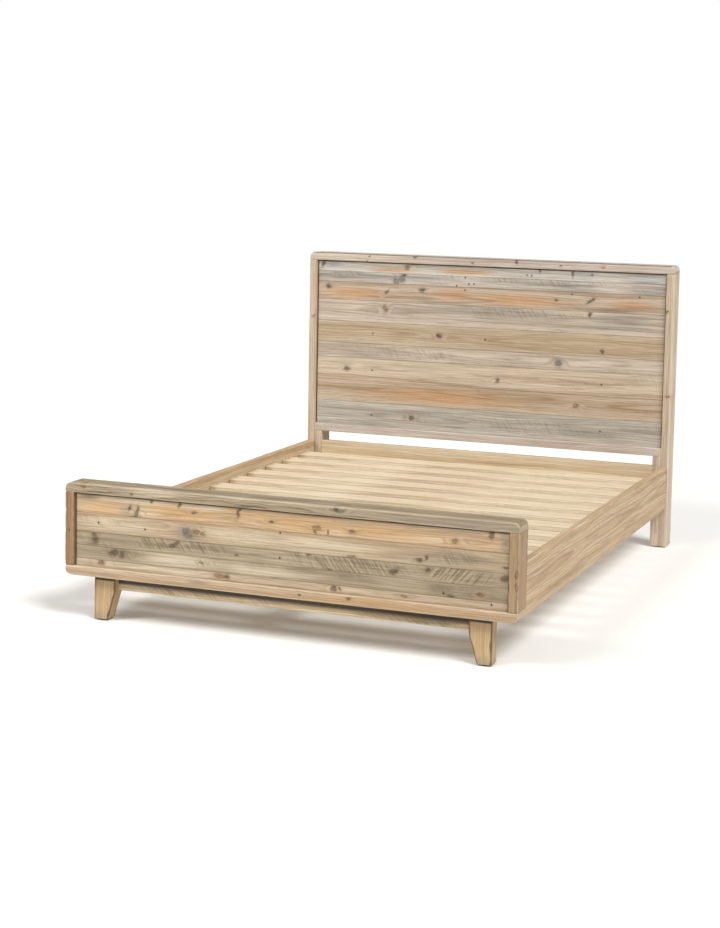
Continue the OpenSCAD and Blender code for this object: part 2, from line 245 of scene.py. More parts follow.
class Shader(Nodes):
    """One node material with a Principled shader."""

    def __init__(self, name: str) -> None:
        """Makes a material with its shader and output."""
        self.material = bpy.data.materials.new(name)
        self.material.use_nodes = True
        super().__init__(self.material.node_tree)
        self.tree.nodes.clear()
        self.surface = self.node("ShaderNodeBsdfPrincipled")
        self.node("ShaderNodeOutputMaterial", None, {"Surface": self.surface.outputs[0]})

    def attribute(self, name: str) -> bpy.types.Node:
        """The node that reads a mesh attribute."""
        return self.node("ShaderNodeAttribute", {"attribute_name": name})

    def vector(self, operation: str, *inputs: object) -> bpy.types.NodeSocket:
        """Adds a Vector Math node and returns its vector."""
        made = self.node("ShaderNodeVectorMath", {"operation": operation}, dict(enumerate(inputs)))
        return made.outputs[0]

    def length(self, vector: bpy.types.NodeSocket) -> Value:
        """The length of a vector."""
        made = self.node("ShaderNodeVectorMath", {"operation": "LENGTH"}, {0: vector})
        return Value(self, made.outputs["Value"])

    def parts(self, vector: bpy.types.NodeSocket) -> tuple[Value, Value, Value]:
        """The three numbers of a vector."""
        made = self.node("ShaderNodeSeparateXYZ", None, {0: vector})
        return tuple(Value(self, made.outputs[i]) for i in range(3))

    def noise(self, vector: bpy.types.NodeSocket, stretch: Sequence[float], detail: float = 2.0,
              rough: float = 0.5) -> bpy.types.Node:
        """Adds noise whose cells are stretched.

        Args:
            vector: where the noise is read.
            stretch: cells per metre along each axis.
            detail: octaves.
            rough: weight of the fine octaves.

        Returns:
            The noise node: output 0 is the number, output 1 three independent numbers.
        """
        scaled = self.vector("MULTIPLY", vector, tuple(stretch))
        return self.node("ShaderNodeTexNoise", None,
                         {"Vector": scaled, "Scale": 1.0, "Detail": detail, "Roughness": rough})

    def grain(self, vector: bpy.types.NodeSocket, stretch: Sequence[float], detail: float = 2.0,
              rough: float = 0.5) -> Value:
        """Noise as a number around 0.5."""
        return Value(self, self.noise(vector, stretch, detail, rough).outputs[0])

    def mix(self, amount: Number, below: object, above: object, mode: str = "MIX") -> bpy.types.NodeSocket:
        """Mixes two colours.

        Args:
            amount: share of the upper colour.
            below: lower colour or socket.
            above: upper colour or socket.
            mode: the blend type.

        Returns:
            The mixed colour.
        """
        made = self.node("ShaderNodeMix", {"data_type": "RGBA", "blend_type": mode, "clamp_factor": True},
                         {0: amount, 6: below, 7: above})
        return made.outputs[2]

    def bump(self, height: Value, distance: float, strength: float) -> None:
        """Feeds a height into the surface's normal."""
        made = self.node("ShaderNodeBump", None,
                         {"Strength": strength, "Distance": distance, "Height": height})
        self.set(Normal=made.outputs[0])

    def set(self, **inputs: object) -> None:
        """Sets or links inputs of the Principled shader; an underscore in a name stands for a space."""
        for key, given in inputs.items():
            self.feed(self.surface.inputs[key.replace("_", " ")], given)


# Finishes


@dataclass(frozen=True)
class Pine:
    """Reclaimed pine: the colours of one kind of board and the strength of each layer of its pattern."""

    pale: str = "#E6CFA8"
    tan: str = "#CFA878"
    late: str = "#94683F"
    grey: str = "#8C7F6A"
    bleach: str = "#A99C86"
    warm: str = "#CFA577"
    edge: str = "#D6C4A8"
    bright: str = "#DDD0B8"
    edge_share: float = 0.14
    thread: float = 0.52
    weather: float = 0.25
    ring: float = 6.0 * MM
    figure: float = 0.055
    pith: tuple[float, float] = (0.01, 0.05)
    contrast: float = 0.45
    saw: float = 0.25
    saw_lean: float = 55.0
    saw_pitch: float = 13.0 * MM
    rough: float = 0.6

    def material(self, name: str, ovals: dict[Mark, list["Oval"]] | None = None) -> bpy.types.Material:
        """Builds the node material.

        Args:
            name: the material's name.
            ovals: the marked places of the board that wears it, in its own measures.

        Returns:
            The finished material.
        """
        return PineShader(name, self, ovals or {}).finished()


@dataclass(frozen=True)
class KnotShade:
    """The colours of one kind of knot, from its core out."""

    core: str
    heart: str
    halo: str


class PineShader(Shader):
    """The layers of a Pine finish, each laid on by one method.

    The pattern reads four mesh attributes: board_at, the place along, across and through the board from its
    middle; board_seed, one number for each board; arris and end_face, which mark the edges and the ends.
    Noise stretches are cells per metre along, across and through the board.
    """

    KNOTS = {Mark.SLATE: KnotShade("#393A3B", "#6F6D66", "#8E877A"),
             Mark.RED: KnotShade("#4B3627", "#8B6B50", "#A98C6A"),
             Mark.KNOT: KnotShade("#2B221A", "#54442F", "#7C6A51")}
    SAW_STAIN = "#625642"
    NAIL_STAIN = "#5E4A36"
    NAIL_DARK = "#120D09"
    # Colour of the painted shade in corners, recesses and under overhangs.
    GLAZE = "#33281D"
    END_GRAIN = ("#A8794C", "#6E4A2C")
    FIBRE_TINTS = ("#DDD8D0", "#FFFFFF")
    BRANCH = 6.0 * MM  # a knot at least this long bends the rings round it

    def __init__(self, name: str, pine: Pine, ovals: dict[Mark, list["Oval"]]) -> None:
        """Reads the board's attributes and adds the noises that the layers share."""
        super().__init__(name)
        self.pine = pine
        at = self.attribute("board_at").outputs["Vector"]
        self.seed = Value(self, self.attribute("board_seed").outputs["Fac"])
        self.along, self.across, self.through = self.parts(at)
        self.place = self.vector("MULTIPLY_ADD", self.seed.socket, (9.1, 3.7, 5.3), at)
        wobble = self.vector("SUBTRACT", self.noise(self.place, (30, 80, 80), 4.0, 0.62).outputs[1],
                             (0.5, 0.5, 0.5))
        self.warped = self.vector("MULTIPLY_ADD", wobble, (0.030, 0.012, 0.012), at)
        self.distance = {kind: self.nearest(at if kind in (Mark.GLAZE, Mark.NAIL) else self.warped, places)
                         for kind, places in ovals.items() if places}
        self.branches = [oval.stretched(3.2, 1.5) for kind in self.KNOTS for oval in ovals.get(kind, [])
                         if oval.reach[0] > self.BRANCH]
        self.ripple = self.grain(self.place, (9, 40, 40))
        self.streak = self.grain(self.place, (1.3, 46, 46), 3.0, 0.62)
        self.thread = self.grain(self.place, (6, 130, 130), 3.0, 0.66)
        self.fibre = self.grain(self.place, (7, 330, 330), 3.0, 0.6)
        self.cloud = self.grain(self.place, (3.2, 15, 15), 3.0, 0.55)
        self.blotch = self.grain(self.place, (70, 150, 150), 4.0, 0.68)
        self.line, self.band = self.rings()
        self.height = self.fibre * 0.35 - self.line * 0.25

    def nearest(self, place: bpy.types.NodeSocket, ovals: Sequence["Oval"]) -> Value:
        """Distance to the nearest of some ovals, 1 at an oval's edge.

        Args:
            place: the place on the board.
            ovals: at least one oval.

        Returns:
            The smallest distance.
        """
        found: Value | None = None
        for oval in ovals:
            local = self.node("ShaderNodeMapping", {"vector_type": "TEXTURE"},
                              {"Vector": place, "Location": oval.middle, "Rotation": oval.turn,
                               "Scale": oval.reach})
            distance = self.length(local.outputs[0])
            found = distance if found is None else found.least(distance)
        return found

    def rings(self) -> tuple[Value, Value]:
        """The growth rings round a pith line that drifts, pushed outwards by knots.

        Returns:
            The dark latewood line of each ring, and a number that differs from ring to ring.
        """
        pine = self.pine
        slow, slower, slowest = self.parts(self.noise(self.place, (1.3, 5, 5), 1.0).outputs[1])
        spread = self.across + (slow - 0.5) * pine.figure + (self.ripple - 0.5) * 0.008 - pine.pith[0]
        depth = self.through + (slower - 0.5) * (0.7 * pine.figure) + pine.pith[1]
        rings = (spread * spread + depth * depth) ** 0.5 / pine.ring + self.seed * 13.0
        if self.branches:
            rings = rings + self.nearest(self.warped, self.branches).ramp(1.7, 0.1) * 1.3
        phase = rings.part()
        growth = self.node("ShaderNodeCombineXYZ", None,
                           {0: rings * 0.31, 1: self.seed * 7.0, 2: slowest * 0.6}).outputs[0]
        return phase.ramp(0.35, 0.86) * phase.ramp(1.0, 0.9), self.grain(growth, (1, 1, 1), 2.0, 0.6)

    def timber(self) -> bpy.types.NodeSocket:
        """The bare wood: earlywood, heartwood patches, bleached patches, ring lines and streaks."""
        pine, distance = self.pine, self.distance
        colour = self.mix(self.band.ramp(0.30, 0.70), tint(pine.pale), tint(pine.tan))
        if Mark.WARM in distance:
            warm = distance[Mark.WARM].ramp(1.6, 0.2) * (self.cloud * 0.9 + 0.45)
            colour = self.mix(warm.least(0.92), colour, tint(pine.warm))
        if Mark.PALE in distance:
            colour = self.mix(distance[Mark.PALE].ramp(1.5, 0.3) * 0.55, colour, tint(pine.bright))
        rings = self.line * self.band.ramp(0.25, 0.65, 0.35, 1.0)
        colour = self.mix(rings * pine.contrast, colour, tint(pine.late))
        colour = self.mix(self.streak.ramp(0.52, 0.78) * 0.50, colour, tint(pine.late))
        return self.mix(self.streak.ramp(0.44, 0.24) * 0.40, colour, tint(pine.pale))

    def weathering(self) -> Value:
        """How grey the wood has gone: in clouds, along streaks and in the marked patches."""
        weather = self.pine.weather
        grey = self.cloud.ramp(0.78 - 0.55 * weather, 0.98 - 0.45 * weather) * (0.2 + 0.8 * weather)
        grey = grey + self.streak.ramp(0.50, 0.72) * (0.5 * weather)
        if Mark.GREY in self.distance:
            patch = self.distance[Mark.GREY].ramp(1.5, 0.2) * self.cloud.ramp(0.25, 0.60, 0.45, 1.0)
            grey = grey.most(patch)
        for kind in (Mark.WARM, Mark.PALE):
            if kind in self.distance:
                grey = grey * self.distance[kind].ramp(0.4, 1.4, 0.25, 1.0)
        return grey

    def saw_strokes(self, colour: bpy.types.NodeSocket) -> bpy.types.NodeSocket:
        """Parallel slanting strokes that a saw left, dark in the kerf and bright on the ridge.

        Args:
            colour: the colour so far.

        Returns:
            The colour with the strokes.
        """
        pine = self.pine
        faint = self.grain(self.place, (5, 22, 22), 1.0).ramp(0.52, 0.66) * 0.4
        for kind, way in ((Mark.SAW, 1.0), (Mark.BACK_SAW, -1.0)):
            if kind is Mark.BACK_SAW and kind not in self.distance:
                continue
            zone = self.distance[kind].ramp(1.35, 0.55) if kind in self.distance else faint
            if kind is Mark.SAW and kind in self.distance:
                zone = zone.most(faint)
            turn = math.radians(pine.saw_lean) * way
            travel = (self.along * math.sin(turn) + self.across * math.cos(turn)) / pine.saw_pitch
            stroke_place = self.node("ShaderNodeCombineXYZ", None,
                                     {0: travel * 1.5 + self.ripple * 0.7, 1: self.across * 16.0,
                                      2: self.seed * 31.0}).outputs[0]
            tooth = self.grain(stroke_place, (1, 1, 1), 2.0, 0.6)
            stroke = tooth.ramp(0.47, 0.62) * zone * (self.thread * 0.9 + 0.45)
            colour = self.mix((stroke * pine.saw).least(0.85), colour, tint(self.SAW_STAIN))
            colour = self.mix(tooth.ramp(0.45, 0.33) * zone * (0.4 * pine.saw), colour, tint(pine.bright))
            self.height = self.height - stroke * (0.5 * pine.saw)
        return colour

    def knots(self, colour: bpy.types.NodeSocket) -> bpy.types.NodeSocket:
        """Knots of every marked kind: a smudged halo, a mottled inside and a broken rim of bark.

        Args:
            colour: the colour so far.

        Returns:
            The colour with the knots.
        """
        for kind, shade in self.KNOTS.items():
            if kind not in self.distance:
                continue
            near = self.distance[kind]
            mottle = (self.blotch.ramp(0.40, 0.62) * 0.8 + self.thread * 0.3).least(1.0)
            inside = self.mix(mottle, tint(shade.core), tint(shade.heart))
            bark = near.ramp(0.60, 0.90) * near.ramp(1.25, 1.0) * self.blotch.ramp(0.42, 0.62)
            colour = self.mix(near.ramp(2.5, 0.8) * (self.thread * 0.8 + 0.05), colour, tint(shade.halo))
            cover = near.ramp(1.40, 0.50) * self.blotch.ramp(0.20, 0.60, 0.98, 0.50)
            colour = self.mix(cover, colour, inside)
            colour = self.mix(bark * 0.5, colour, tint(shade.core))
            self.height = self.height + near.ramp(1.2, 0.8) * 0.3 - bark * 0.4
        return colour

    def stains_and_painted_shade(self, colour: bpy.types.NodeSocket) -> bpy.types.NodeSocket:
        """Rust round the nail holes, and painted shade in the corners, recesses and under overhangs.

        Args:
            colour: the colour so far.

        Returns:
            The colour with the rust and the painted shade.
        """
        if Mark.NAIL in self.distance:
            near = self.distance[Mark.NAIL]
            colour = self.mix(near.ramp(3.2, 1.1) * 0.30, colour, tint(self.NAIL_STAIN))
            colour = self.mix(near.ramp(1.25, 0.85) * 0.96, colour, tint(self.NAIL_DARK))
        # Painted shade: darkens plank ends beside the frame, strips under caps and rails, and the head
        # cap's top edge.
        if Mark.GLAZE in self.distance:
            share = self.distance[Mark.GLAZE].ramp(1.25, 0.55) * self.blotch.ramp(0.1, 0.5, 0.80, 0.95)
            colour = self.mix(share, colour, tint(self.GLAZE))
        return colour

    def wear(self, colour: bpy.types.NodeSocket) -> bpy.types.NodeSocket:
        """End grain, worn arrises and the shade of the single fibres.

        Args:
            colour: the colour so far.

        Returns:
            The finished colour.
        """
        end = Value(self, self.attribute("end_face").outputs["Fac"]).ramp(0.3, 0.9)
        grain = self.mix(self.line, *(tint(code) for code in self.END_GRAIN))
        colour = self.mix(end * 0.55, colour, grain)
        arris = Value(self, self.attribute("arris").outputs["Fac"])
        worn = (arris * 0.75 + self.streak * 0.5 + (self.ripple - 0.5) * 0.6).ramp(0.55, 0.95)
        colour = self.mix(worn * self.pine.edge_share, colour, tint(self.pine.edge))
        shade = self.mix(self.fibre.ramp(0.25, 0.75), *(tint(code) for code in self.FIBRE_TINTS))
        return self.mix(1.0, colour, shade, "MULTIPLY")

    def finished(self) -> bpy.types.Material:
        """Lays all the layers and returns the material."""
        pine = self.pine
        grey = self.weathering()
        ash = self.mix(self.streak.ramp(0.35, 0.65), tint(pine.bleach), tint(pine.grey))
        colour = self.mix(grey.least(0.9), self.timber(), ash)
        colour = self.mix(self.thread.ramp(0.52, 0.74) * pine.thread, colour, tint(pine.late))
        if pine.saw:
            colour = self.saw_strokes(colour)
        colour = self.wear(self.stains_and_painted_shade(self.knots(colour)))
        gloss = self.streak * 0.14 + grey * 0.08 + (pine.rough - 0.07)
        self.set(Base_Color=colour, Roughness=gloss, Specular_IOR_Level=0.32)
        self.bump(self.height, 0.9 * MM, 0.55)
        return self.material


@dataclass(frozen=True)
class Zinc:
    """Zinc-plated steel: grey crystals, a faint yellow passivation and dull scuffs."""

    colour: str = "#A9ABAA"
    tarnish: str = "#7C7A70"
    passivation: str = "#D8D6C4"
    rough: float = 0.42
    crystals: float = 260.0

    def material(self, name: str) -> bpy.types.Material:
        """Builds the node material and returns it."""
        s = Shader(name)
        at = s.node("ShaderNodeTexCoord").outputs["Object"]
        crystal = s.node("ShaderNodeTexVoronoi", None, {"Vector": at, "Scale": self.crystals})
        shade, _, _ = s.parts(crystal.outputs["Color"])
        cloud = s.grain(at, (45, 45, 45), 4.0, 0.6)
        scuff = s.grain(at, (900, 120, 420), 3.0, 0.6)
        colour = s.mix(cloud.ramp(0.42, 0.72) * 0.7, tint(self.colour), tint(self.tarnish))
        colour = s.mix(shade * 0.18, colour, tint(self.passivation))
        s.set(Base_Color=colour, Metallic=1.0, Roughness=cloud * 0.25 + scuff * 0.14 + (self.rough - 0.16))
        s.bump(scuff * 0.5 + shade * 0.4, 0.12 * MM, 0.35)
        return s.material


@dataclass(frozen=True)
class MouldedPlastic:
    """Black moulded plastic with a fine texture and dust on what faces up."""

    colour: str = "#1B1B1C"
    dust: str = "#5C5952"
    rough: float = 0.5

    def material(self, name: str) -> bpy.types.Material:
        """Builds the node material and returns it."""
        s = Shader(name)
        at = s.node("ShaderNodeTexCoord").outputs["Object"]
        _, _, up = s.parts(s.node("ShaderNodeNewGeometry").outputs["Normal"])
        pebble = s.grain(at, (900, 900, 900), 2.0, 0.5)
        cloud = s.grain(at, (70, 70, 70), 3.0, 0.6)
        dusty = up.ramp(0.2, 1.0) * cloud.ramp(0.40, 0.75) * 0.45
        colour = s.mix(dusty, tint(self.colour), tint(self.dust))
        s.set(Base_Color=colour, Roughness=cloud * 0.2 + (self.rough - 0.08), Specular_IOR_Level=0.45)
        s.bump(pebble, 0.08 * MM, 0.5)
        return s.material


# Meshes


@dataclass(frozen=True)
class Oval:
    """An oval place in a board's own measures: its middle, turn and reach along each axis."""

    middle: tuple[float, float, float]
    turn: tuple[float, float, float]
    reach: tuple[float, float, float]

    def stretched(self, along: float, across: float) -> "Oval":
        """The same oval, longer and wider."""
        a, b, c = self.reach
        return Oval(self.middle, self.turn, (a * along, b * across, c * across))


@dataclass(frozen=True)
class Solid:
    """One closed solid of a CAD node: its box and its corner points."""

    low: Vector
    high: Vector
    points: np.ndarray


def solids(node: str) -> list[Solid]:
    """Splits a CAD node into its separate solids.

    Args:
        node: the CAD node's name.

    Returns:
        The solids, in order of X, then Y, then Z of their lowest corners.
    """
    mesh = frame["nodes"][node].data
    points = np.array([v.co for v in mesh.vertices])
    _, same = np.unique(np.round(points, 6), axis=0, return_inverse=True)
    same = same.ravel()
    owner = np.arange(same.max() + 1)

    def root(i: int) -> int:
        """Follows owners to the first."""
        while owner[i] != i:
            owner[i] = owner[owner[i]]
            i = owner[i]
        return i

    for polygon in mesh.polygons:
        ids = [root(same[v]) for v in polygon.vertices]
        for other in ids[1:]:
            owner[root(other)] = root(ids[0])
    label = np.array([root(i) for i in range(len(owner))])[same]
    found = []
    for one in np.unique(label):
        mine = points[label == one]
        found.append(Solid(Vector(mine.min(0)), Vector(mine.max(0)), mine))
    return sorted(found, key=lambda solid: tuple(round(c, 4) for c in solid.low))


def drift(rng: np.random.Generator, at: np.ndarray, pitch: float) -> np.ndarray:
    """Slow random change along a line.

    Args:
        rng: the seeded source.
        at: the places.
        pitch: distance between independent values.

    Returns:
        A number from 0 to 1 for each place.
    """
    knots = np.arange(at.min() - pitch, at.max() + 2 * pitch, pitch)
    return np.interp(at, knots, rng.random(len(knots)))


def round_end(low: float, high: float, radius: float, top: bool) -> Callable[[float], Insets]:
    """How a cap or rail is rounded at both ends, seen from the front.

    Args:
        low: the board's start.
        high: the board's end.
        radius: corner radius.
        top: True rounds the upper corners, False the lower ones.

    Returns:
        A function from the place along the board to its four insets.
    """
    def insets(u: float) -> Insets:
        """Insets at one place along the board."""
        past = max(low + radius - u, u - (high - radius), 0.0)
        cut = radius - math.sqrt(max(radius ** 2 - min(past, radius) ** 2, 0.0))
        return (0.0, 0.0, 0.0, cut) if top else (0.0, 0.0, cut, 0.0)

    return insets


@dataclass
class Board:
    """One sawn board, swept along its grain, with eased arrises that are worn unevenly."""

    low: Vector
    high: Vector
    grain: Axis
    seed: int
    ease: float = 2.0 * MM
    wear: float = 0.8
    pitch: float = 14.0 * MM
    chips: int = 5
    shape: Callable[[float], Insets] | None = None
    stations: tuple[float, ...] = ()
    arc: int = 3

    END_STEPS = 3  # cross-sections that round an end
    CORNER_GUARD = 4.0 * MM  # keeps the shading of the flat sides flat
    SIDE_PITCH = 24 * MM
    APART = 0.2 * MM  # cross-sections closer than this are one
    SLOW_WEAR = 0.07  # lengths over which the wear of an arris changes
    QUICK_WEAR = 0.016
    MARK_DEPTH = {Mark.KNOT: 40 * MM, Mark.RED: 40 * MM, Mark.SLATE: 40 * MM, Mark.GREY: 45 * MM,
                  Mark.GLAZE: 6 * MM}
    BARE_MARK = (2.6, 2.6, 0.0)  # half width and half height in mm, and lean, where a mark gives none

    def axes(self) -> tuple[int, int, int]:
        """Axis numbers of along, across and through, where across is the wider of the last two."""
        along = self.grain.value
        rest = [i for i in range(3) if i != along]
        size = self.high - self.low
        across, through = (rest if size[rest[0]] >= size[rest[1]] else rest[::-1])
        return along, across, through

    def middle(self) -> Vector:
        """The middle of the board's box."""
        return (self.low + self.high) / 2

    def rings(self, start: float, end: float) -> list[tuple[float, float]]:
        """Places of the cross-sections and how much each is drawn in, which rounds the ends."""
        steps = [math.pi / 2 * k / self.END_STEPS for k in range(self.END_STEPS + 1)]
        ends = [(self.ease * (1 - math.cos(a)), self.ease * (1 - math.sin(a))) for a in steps]
        count = max(3, round((end - start) / self.pitch))
        inner = [start + (end - start) * k / count for k in range(1, count)] + list(self.stations)
        inner = [u for u in sorted(inner) if start + 1.6 * self.ease < u < end - 1.6 * self.ease]
        kept = [u for i, u in enumerate(inner) if i == 0 or u - inner[i - 1] > self.APART]
        return ([(start + a, b) for a, b in ends] + [(u, 0.0) for u in kept]
                + [(end - a, b) for a, b in reversed(ends)])

    def side_shares(self, length: float) -> list[float]:
        """Where a side has points, as shares of it: close to both corners, and between them."""
        guard = min(self.CORNER_GUARD / length, 0.3)
        count = max(1, round(length / self.SIDE_PITCH))
        return [guard] + [guard + (1 - 2 * guard) * k / count for k in range(1, count)] + [1 - guard]

    def radii(self, places: np.ndarray) -> list[np.ndarray]:
        """Radius of each of the four long arrises at each cross-section: it drifts, and chips widen it.

        Args:
            places: the cross-sections' places along the board.

        Returns:
            Four rows of radii.
        """
        rng = np.random.default_rng(self.seed)
        found = []
        for _ in range(4):
            slow, quick = (drift(rng, places, pitch) for pitch in (self.SLOW_WEAR, self.QUICK_WEAR))
            radius = self.ease * (1 + self.wear * (slow * 0.9 + quick * 0.5 - 0.5))
            for _ in range(self.chips):
                spot, reach = rng.uniform(places[0], places[-1]), rng.uniform(4, 14) * MM
                chip = np.exp(-((places - spot) / reach) ** 2)
                radius += self.ease * self.wear * rng.uniform(0.3, 1.3) * chip
            found.append(radius)
        return found

    def section(self, insets: Insets, draw: float, radii: Sequence[float]) -> tuple[list, list]:
        """One cross-section.

        Args:
            insets: how far each side is cut back.
            draw: how much all sides are drawn in, which rounds the board's ends.
            radii: the four arrises' radii.

        Returns:
            Its points across and through, and for each point 1 on an arris or 0 between them.
        """
        _, across, through = self.axes()
        wide = self.side_shares(self.high[across] - self.low[across])
        thin = self.side_shares(self.high[through] - self.low[through])
        a0, a1 = self.low[across] + insets[0] + draw, self.high[across] - insets[1] - draw
        b0, b1 = self.low[through] + insets[2] + draw, self.high[through] - insets[3] - draw
        corners = ((a1, b0, -90, thin), (a1, b1, 0, wide), (a0, b1, 90, thin), (a0, b0, 180, wide))
        limit = 0.45 * min(a1 - a0, b1 - b0)
        arcs = []
        for (a, b, turn, _), radius in zip(corners, radii):
            r = min(radius, limit)
            ca, cb = a + (r if a == a0 else -r), b + (r if b == b0 else -r)
            angles = [math.radians(turn + 90 * k / self.arc) for k in range(self.arc + 1)]
            arcs.append([(ca + r * math.cos(t), cb + r * math.sin(t)) for t in angles])
        ring, edge = [], []
        for k, (_, _, _, shares) in enumerate(corners):
            (sa, sb), (ea, eb) = arcs[k][-1], arcs[(k + 1) % 4][0]
            ring += arcs[k] + [(sa + (ea - sa) * t, sb + (eb - sb) * t) for t in shares]
            edge += [1.0] * len(arcs[k]) + [0.0] * len(shares)
        return ring, edge

    def mesh(self, name: str) -> bpy.types.Mesh:
        """Builds the board's mesh in place, with its attributes.

        Args:
            name: the mesh's name.

        Returns:
            The closed mesh.
        """
        along, across, through = self.axes()
        rings = self.rings(self.low[along], self.high[along])
        radii = self.radii(np.array([u for u, _ in rings]))
        rows, edge = [], []
        for i, (u, draw) in enumerate(rings):
            insets = self.shape(u) if self.shape else (0.0, 0.0, 0.0, 0.0)
            ring, arris = self.section(insets, draw, [radius[i] for radius in radii])
            rows.append([(u, a, b) for a, b in ring])
            edge.append([max(m, 1.0 if draw > 0 else 0.0) for m in arris])
        size = len(rows[0])
        points = np.zeros((len(rows) * size, 3))
        points[:, [along, across, through]] = np.array(rows).reshape(-1, 3)
        faces = []
        for row in range(0, len(points) - size, size):
            for k in range(size):
                after = (k + 1) % size
                faces.append((row + k, row + after, row + size + after, row + size + k))
        faces += [tuple(range(size))[::-1], tuple(range(len(points) - size, len(points)))]
        made = bpy.data.meshes.new(name)
        made.from_pydata(points.tolist(), [], faces)
        outward(made)
        end_face = np.zeros(len(points))
        end_face[:size] = end_face[-size:] = 1.0
        mark(made, "arris", np.array(edge).ravel())
        mark(made, "end_face", end_face)
        self.place(made)
        made.shade_smooth()
        return made

    def pattern_seed(self) -> float:
        """The board's own number from 0 to 1, which moves it to its own part of the timber pattern."""
        return (self.seed * GOLDEN) % 1.0

    def place(self, mesh: bpy.types.Mesh) -> None:
        """Writes the board's seed, and each point's place along, across and through the board."""
        points = np.array([v.co for v in mesh.vertices]) - np.array(self.middle())
        mark(mesh, "board_seed", np.full(len(points), self.pattern_seed()))
        mark(mesh, "board_at", points[:, list(self.axes())])

    def ovals(self, spots: Spots) -> dict[Mark, list[Oval]]:
        """Turns marks given on the front face into the board's own measures.

        Args:
            spots: for each mark, tuples of x, z, half width, half height and lean, in mm and degrees.

        Returns:
            The same places as ovals of the board.
        """
        axes, middle = self.axes(), self.middle()
        through_front = axes.index(1)
        found: dict[Mark, list[Oval]] = {}
        for kind, places in spots.items():
            deep = self.MARK_DEPTH.get(kind, THROUGH)
            for x, z, *more in places:
                half_x, half_z, lean = (*more, *self.BARE_MARK[len(more):])
                row = (x * MM - middle.x, -0.5 * (self.high.y - self.low.y), z * MM - middle.z)
                reach = (half_x * MM, deep, half_z * MM)
                turn = [0.0, 0.0, 0.0]
                turn[through_front] = math.radians(lean if through_front == 2 else -lean)
                oval = Oval(tuple(row[a] for a in axes), tuple(turn), tuple(reach[a] for a in axes))
                found.setdefault(kind, []).append(oval)
        return found


def mark(mesh: bpy.types.Mesh, name: str, values: np.ndarray) -> None:
    """Writes a point attribute, a number or a vector for each point."""
    kind = "FLOAT" if values.ndim == 1 else "FLOAT_VECTOR"
    attribute = mesh.attributes.get(name) or mesh.attributes.new(name, kind, "POINT")
    field_name = "value" if values.ndim == 1 else "vector"
    attribute.data.foreach_set(field_name, values.astype(np.float32).ravel())


def outward(mesh: bpy.types.Mesh) -> None:
    """Turns every face of a closed mesh outwards."""
    bm = bmesh.new()
    bm.from_mesh(mesh)
    bmesh.ops.recalc_face_normals(bm, faces=bm.faces)
    bm.to_mesh(mesh)
    bm.free()


def kept_mesh(bm: bmesh.types.BMesh, name: str) -> bpy.types.Mesh:
    """Keeps a closed bmesh as a mesh whose faces point outwards."""
    made = bpy.data.meshes.new(name)
    bm.to_mesh(made)
    bm.free()
    outward(made)
    return made


def skin(bm: bmesh.types.BMesh, rows: Sequence[Sequence[bmesh.types.BMVert]]) -> None:
    """Closes a stack of rings into a solid: quads between the rings and a cap at both ends."""
    for lower, upper in zip(rows, rows[1:]):
        for k in range(len(lower)):
            after = (k + 1) % len(lower)
            bm.faces.new((lower[k], lower[after], upper[after], upper[k]))
    bm.faces.new(rows[0][::-1])
    bm.faces.new(rows[-1])


def around(middle: Sequence[float], radius: float, turn: float, z: float) -> tuple[float, float, float]:
    """A point at a radius and an angle round an upright axis."""
    return (middle[0] + radius * math.cos(turn), middle[1] + radius * math.sin(turn), z)


def add_object(name: str, data: bpy.types.ID) -> bpy.types.Object:
    """Adds an object to the scene and returns it."""
    made = bpy.data.objects.new(name, data)
    bpy.context.scene.collection.objects.link(made)
    return made


def publish(name: str, mesh: bpy.types.Mesh, material: bpy.types.Material,
            nodes: Sequence[str], body: str = BODY) -> bpy.types.Object:
    """Adds a finished piece to the scene.

    Args:
        name: the piece's name.
        mesh: its mesh, in place.
        material: its finish.
        nodes: the CAD nodes it stands for.
        body: the CAD body it rides on.

    Returns:
        The piece.
    """
    piece = add_object(name, mesh)
    mesh.materials.clear()
    mesh.materials.append(material)
    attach(piece, body)
    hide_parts(*nodes)
    log.info("%s: %d faces on %s, for %s", name, len(mesh.polygons), body, ", ".join(nodes))
    return piece


WELD = 2e-5
FLAT = math.radians(1.0)  # faces that differ less are one face
SHARP = math.radians(50)  # edges that turn more are eased, if they are long enough
LONG = 7  # length of such an edge, in bevel widths


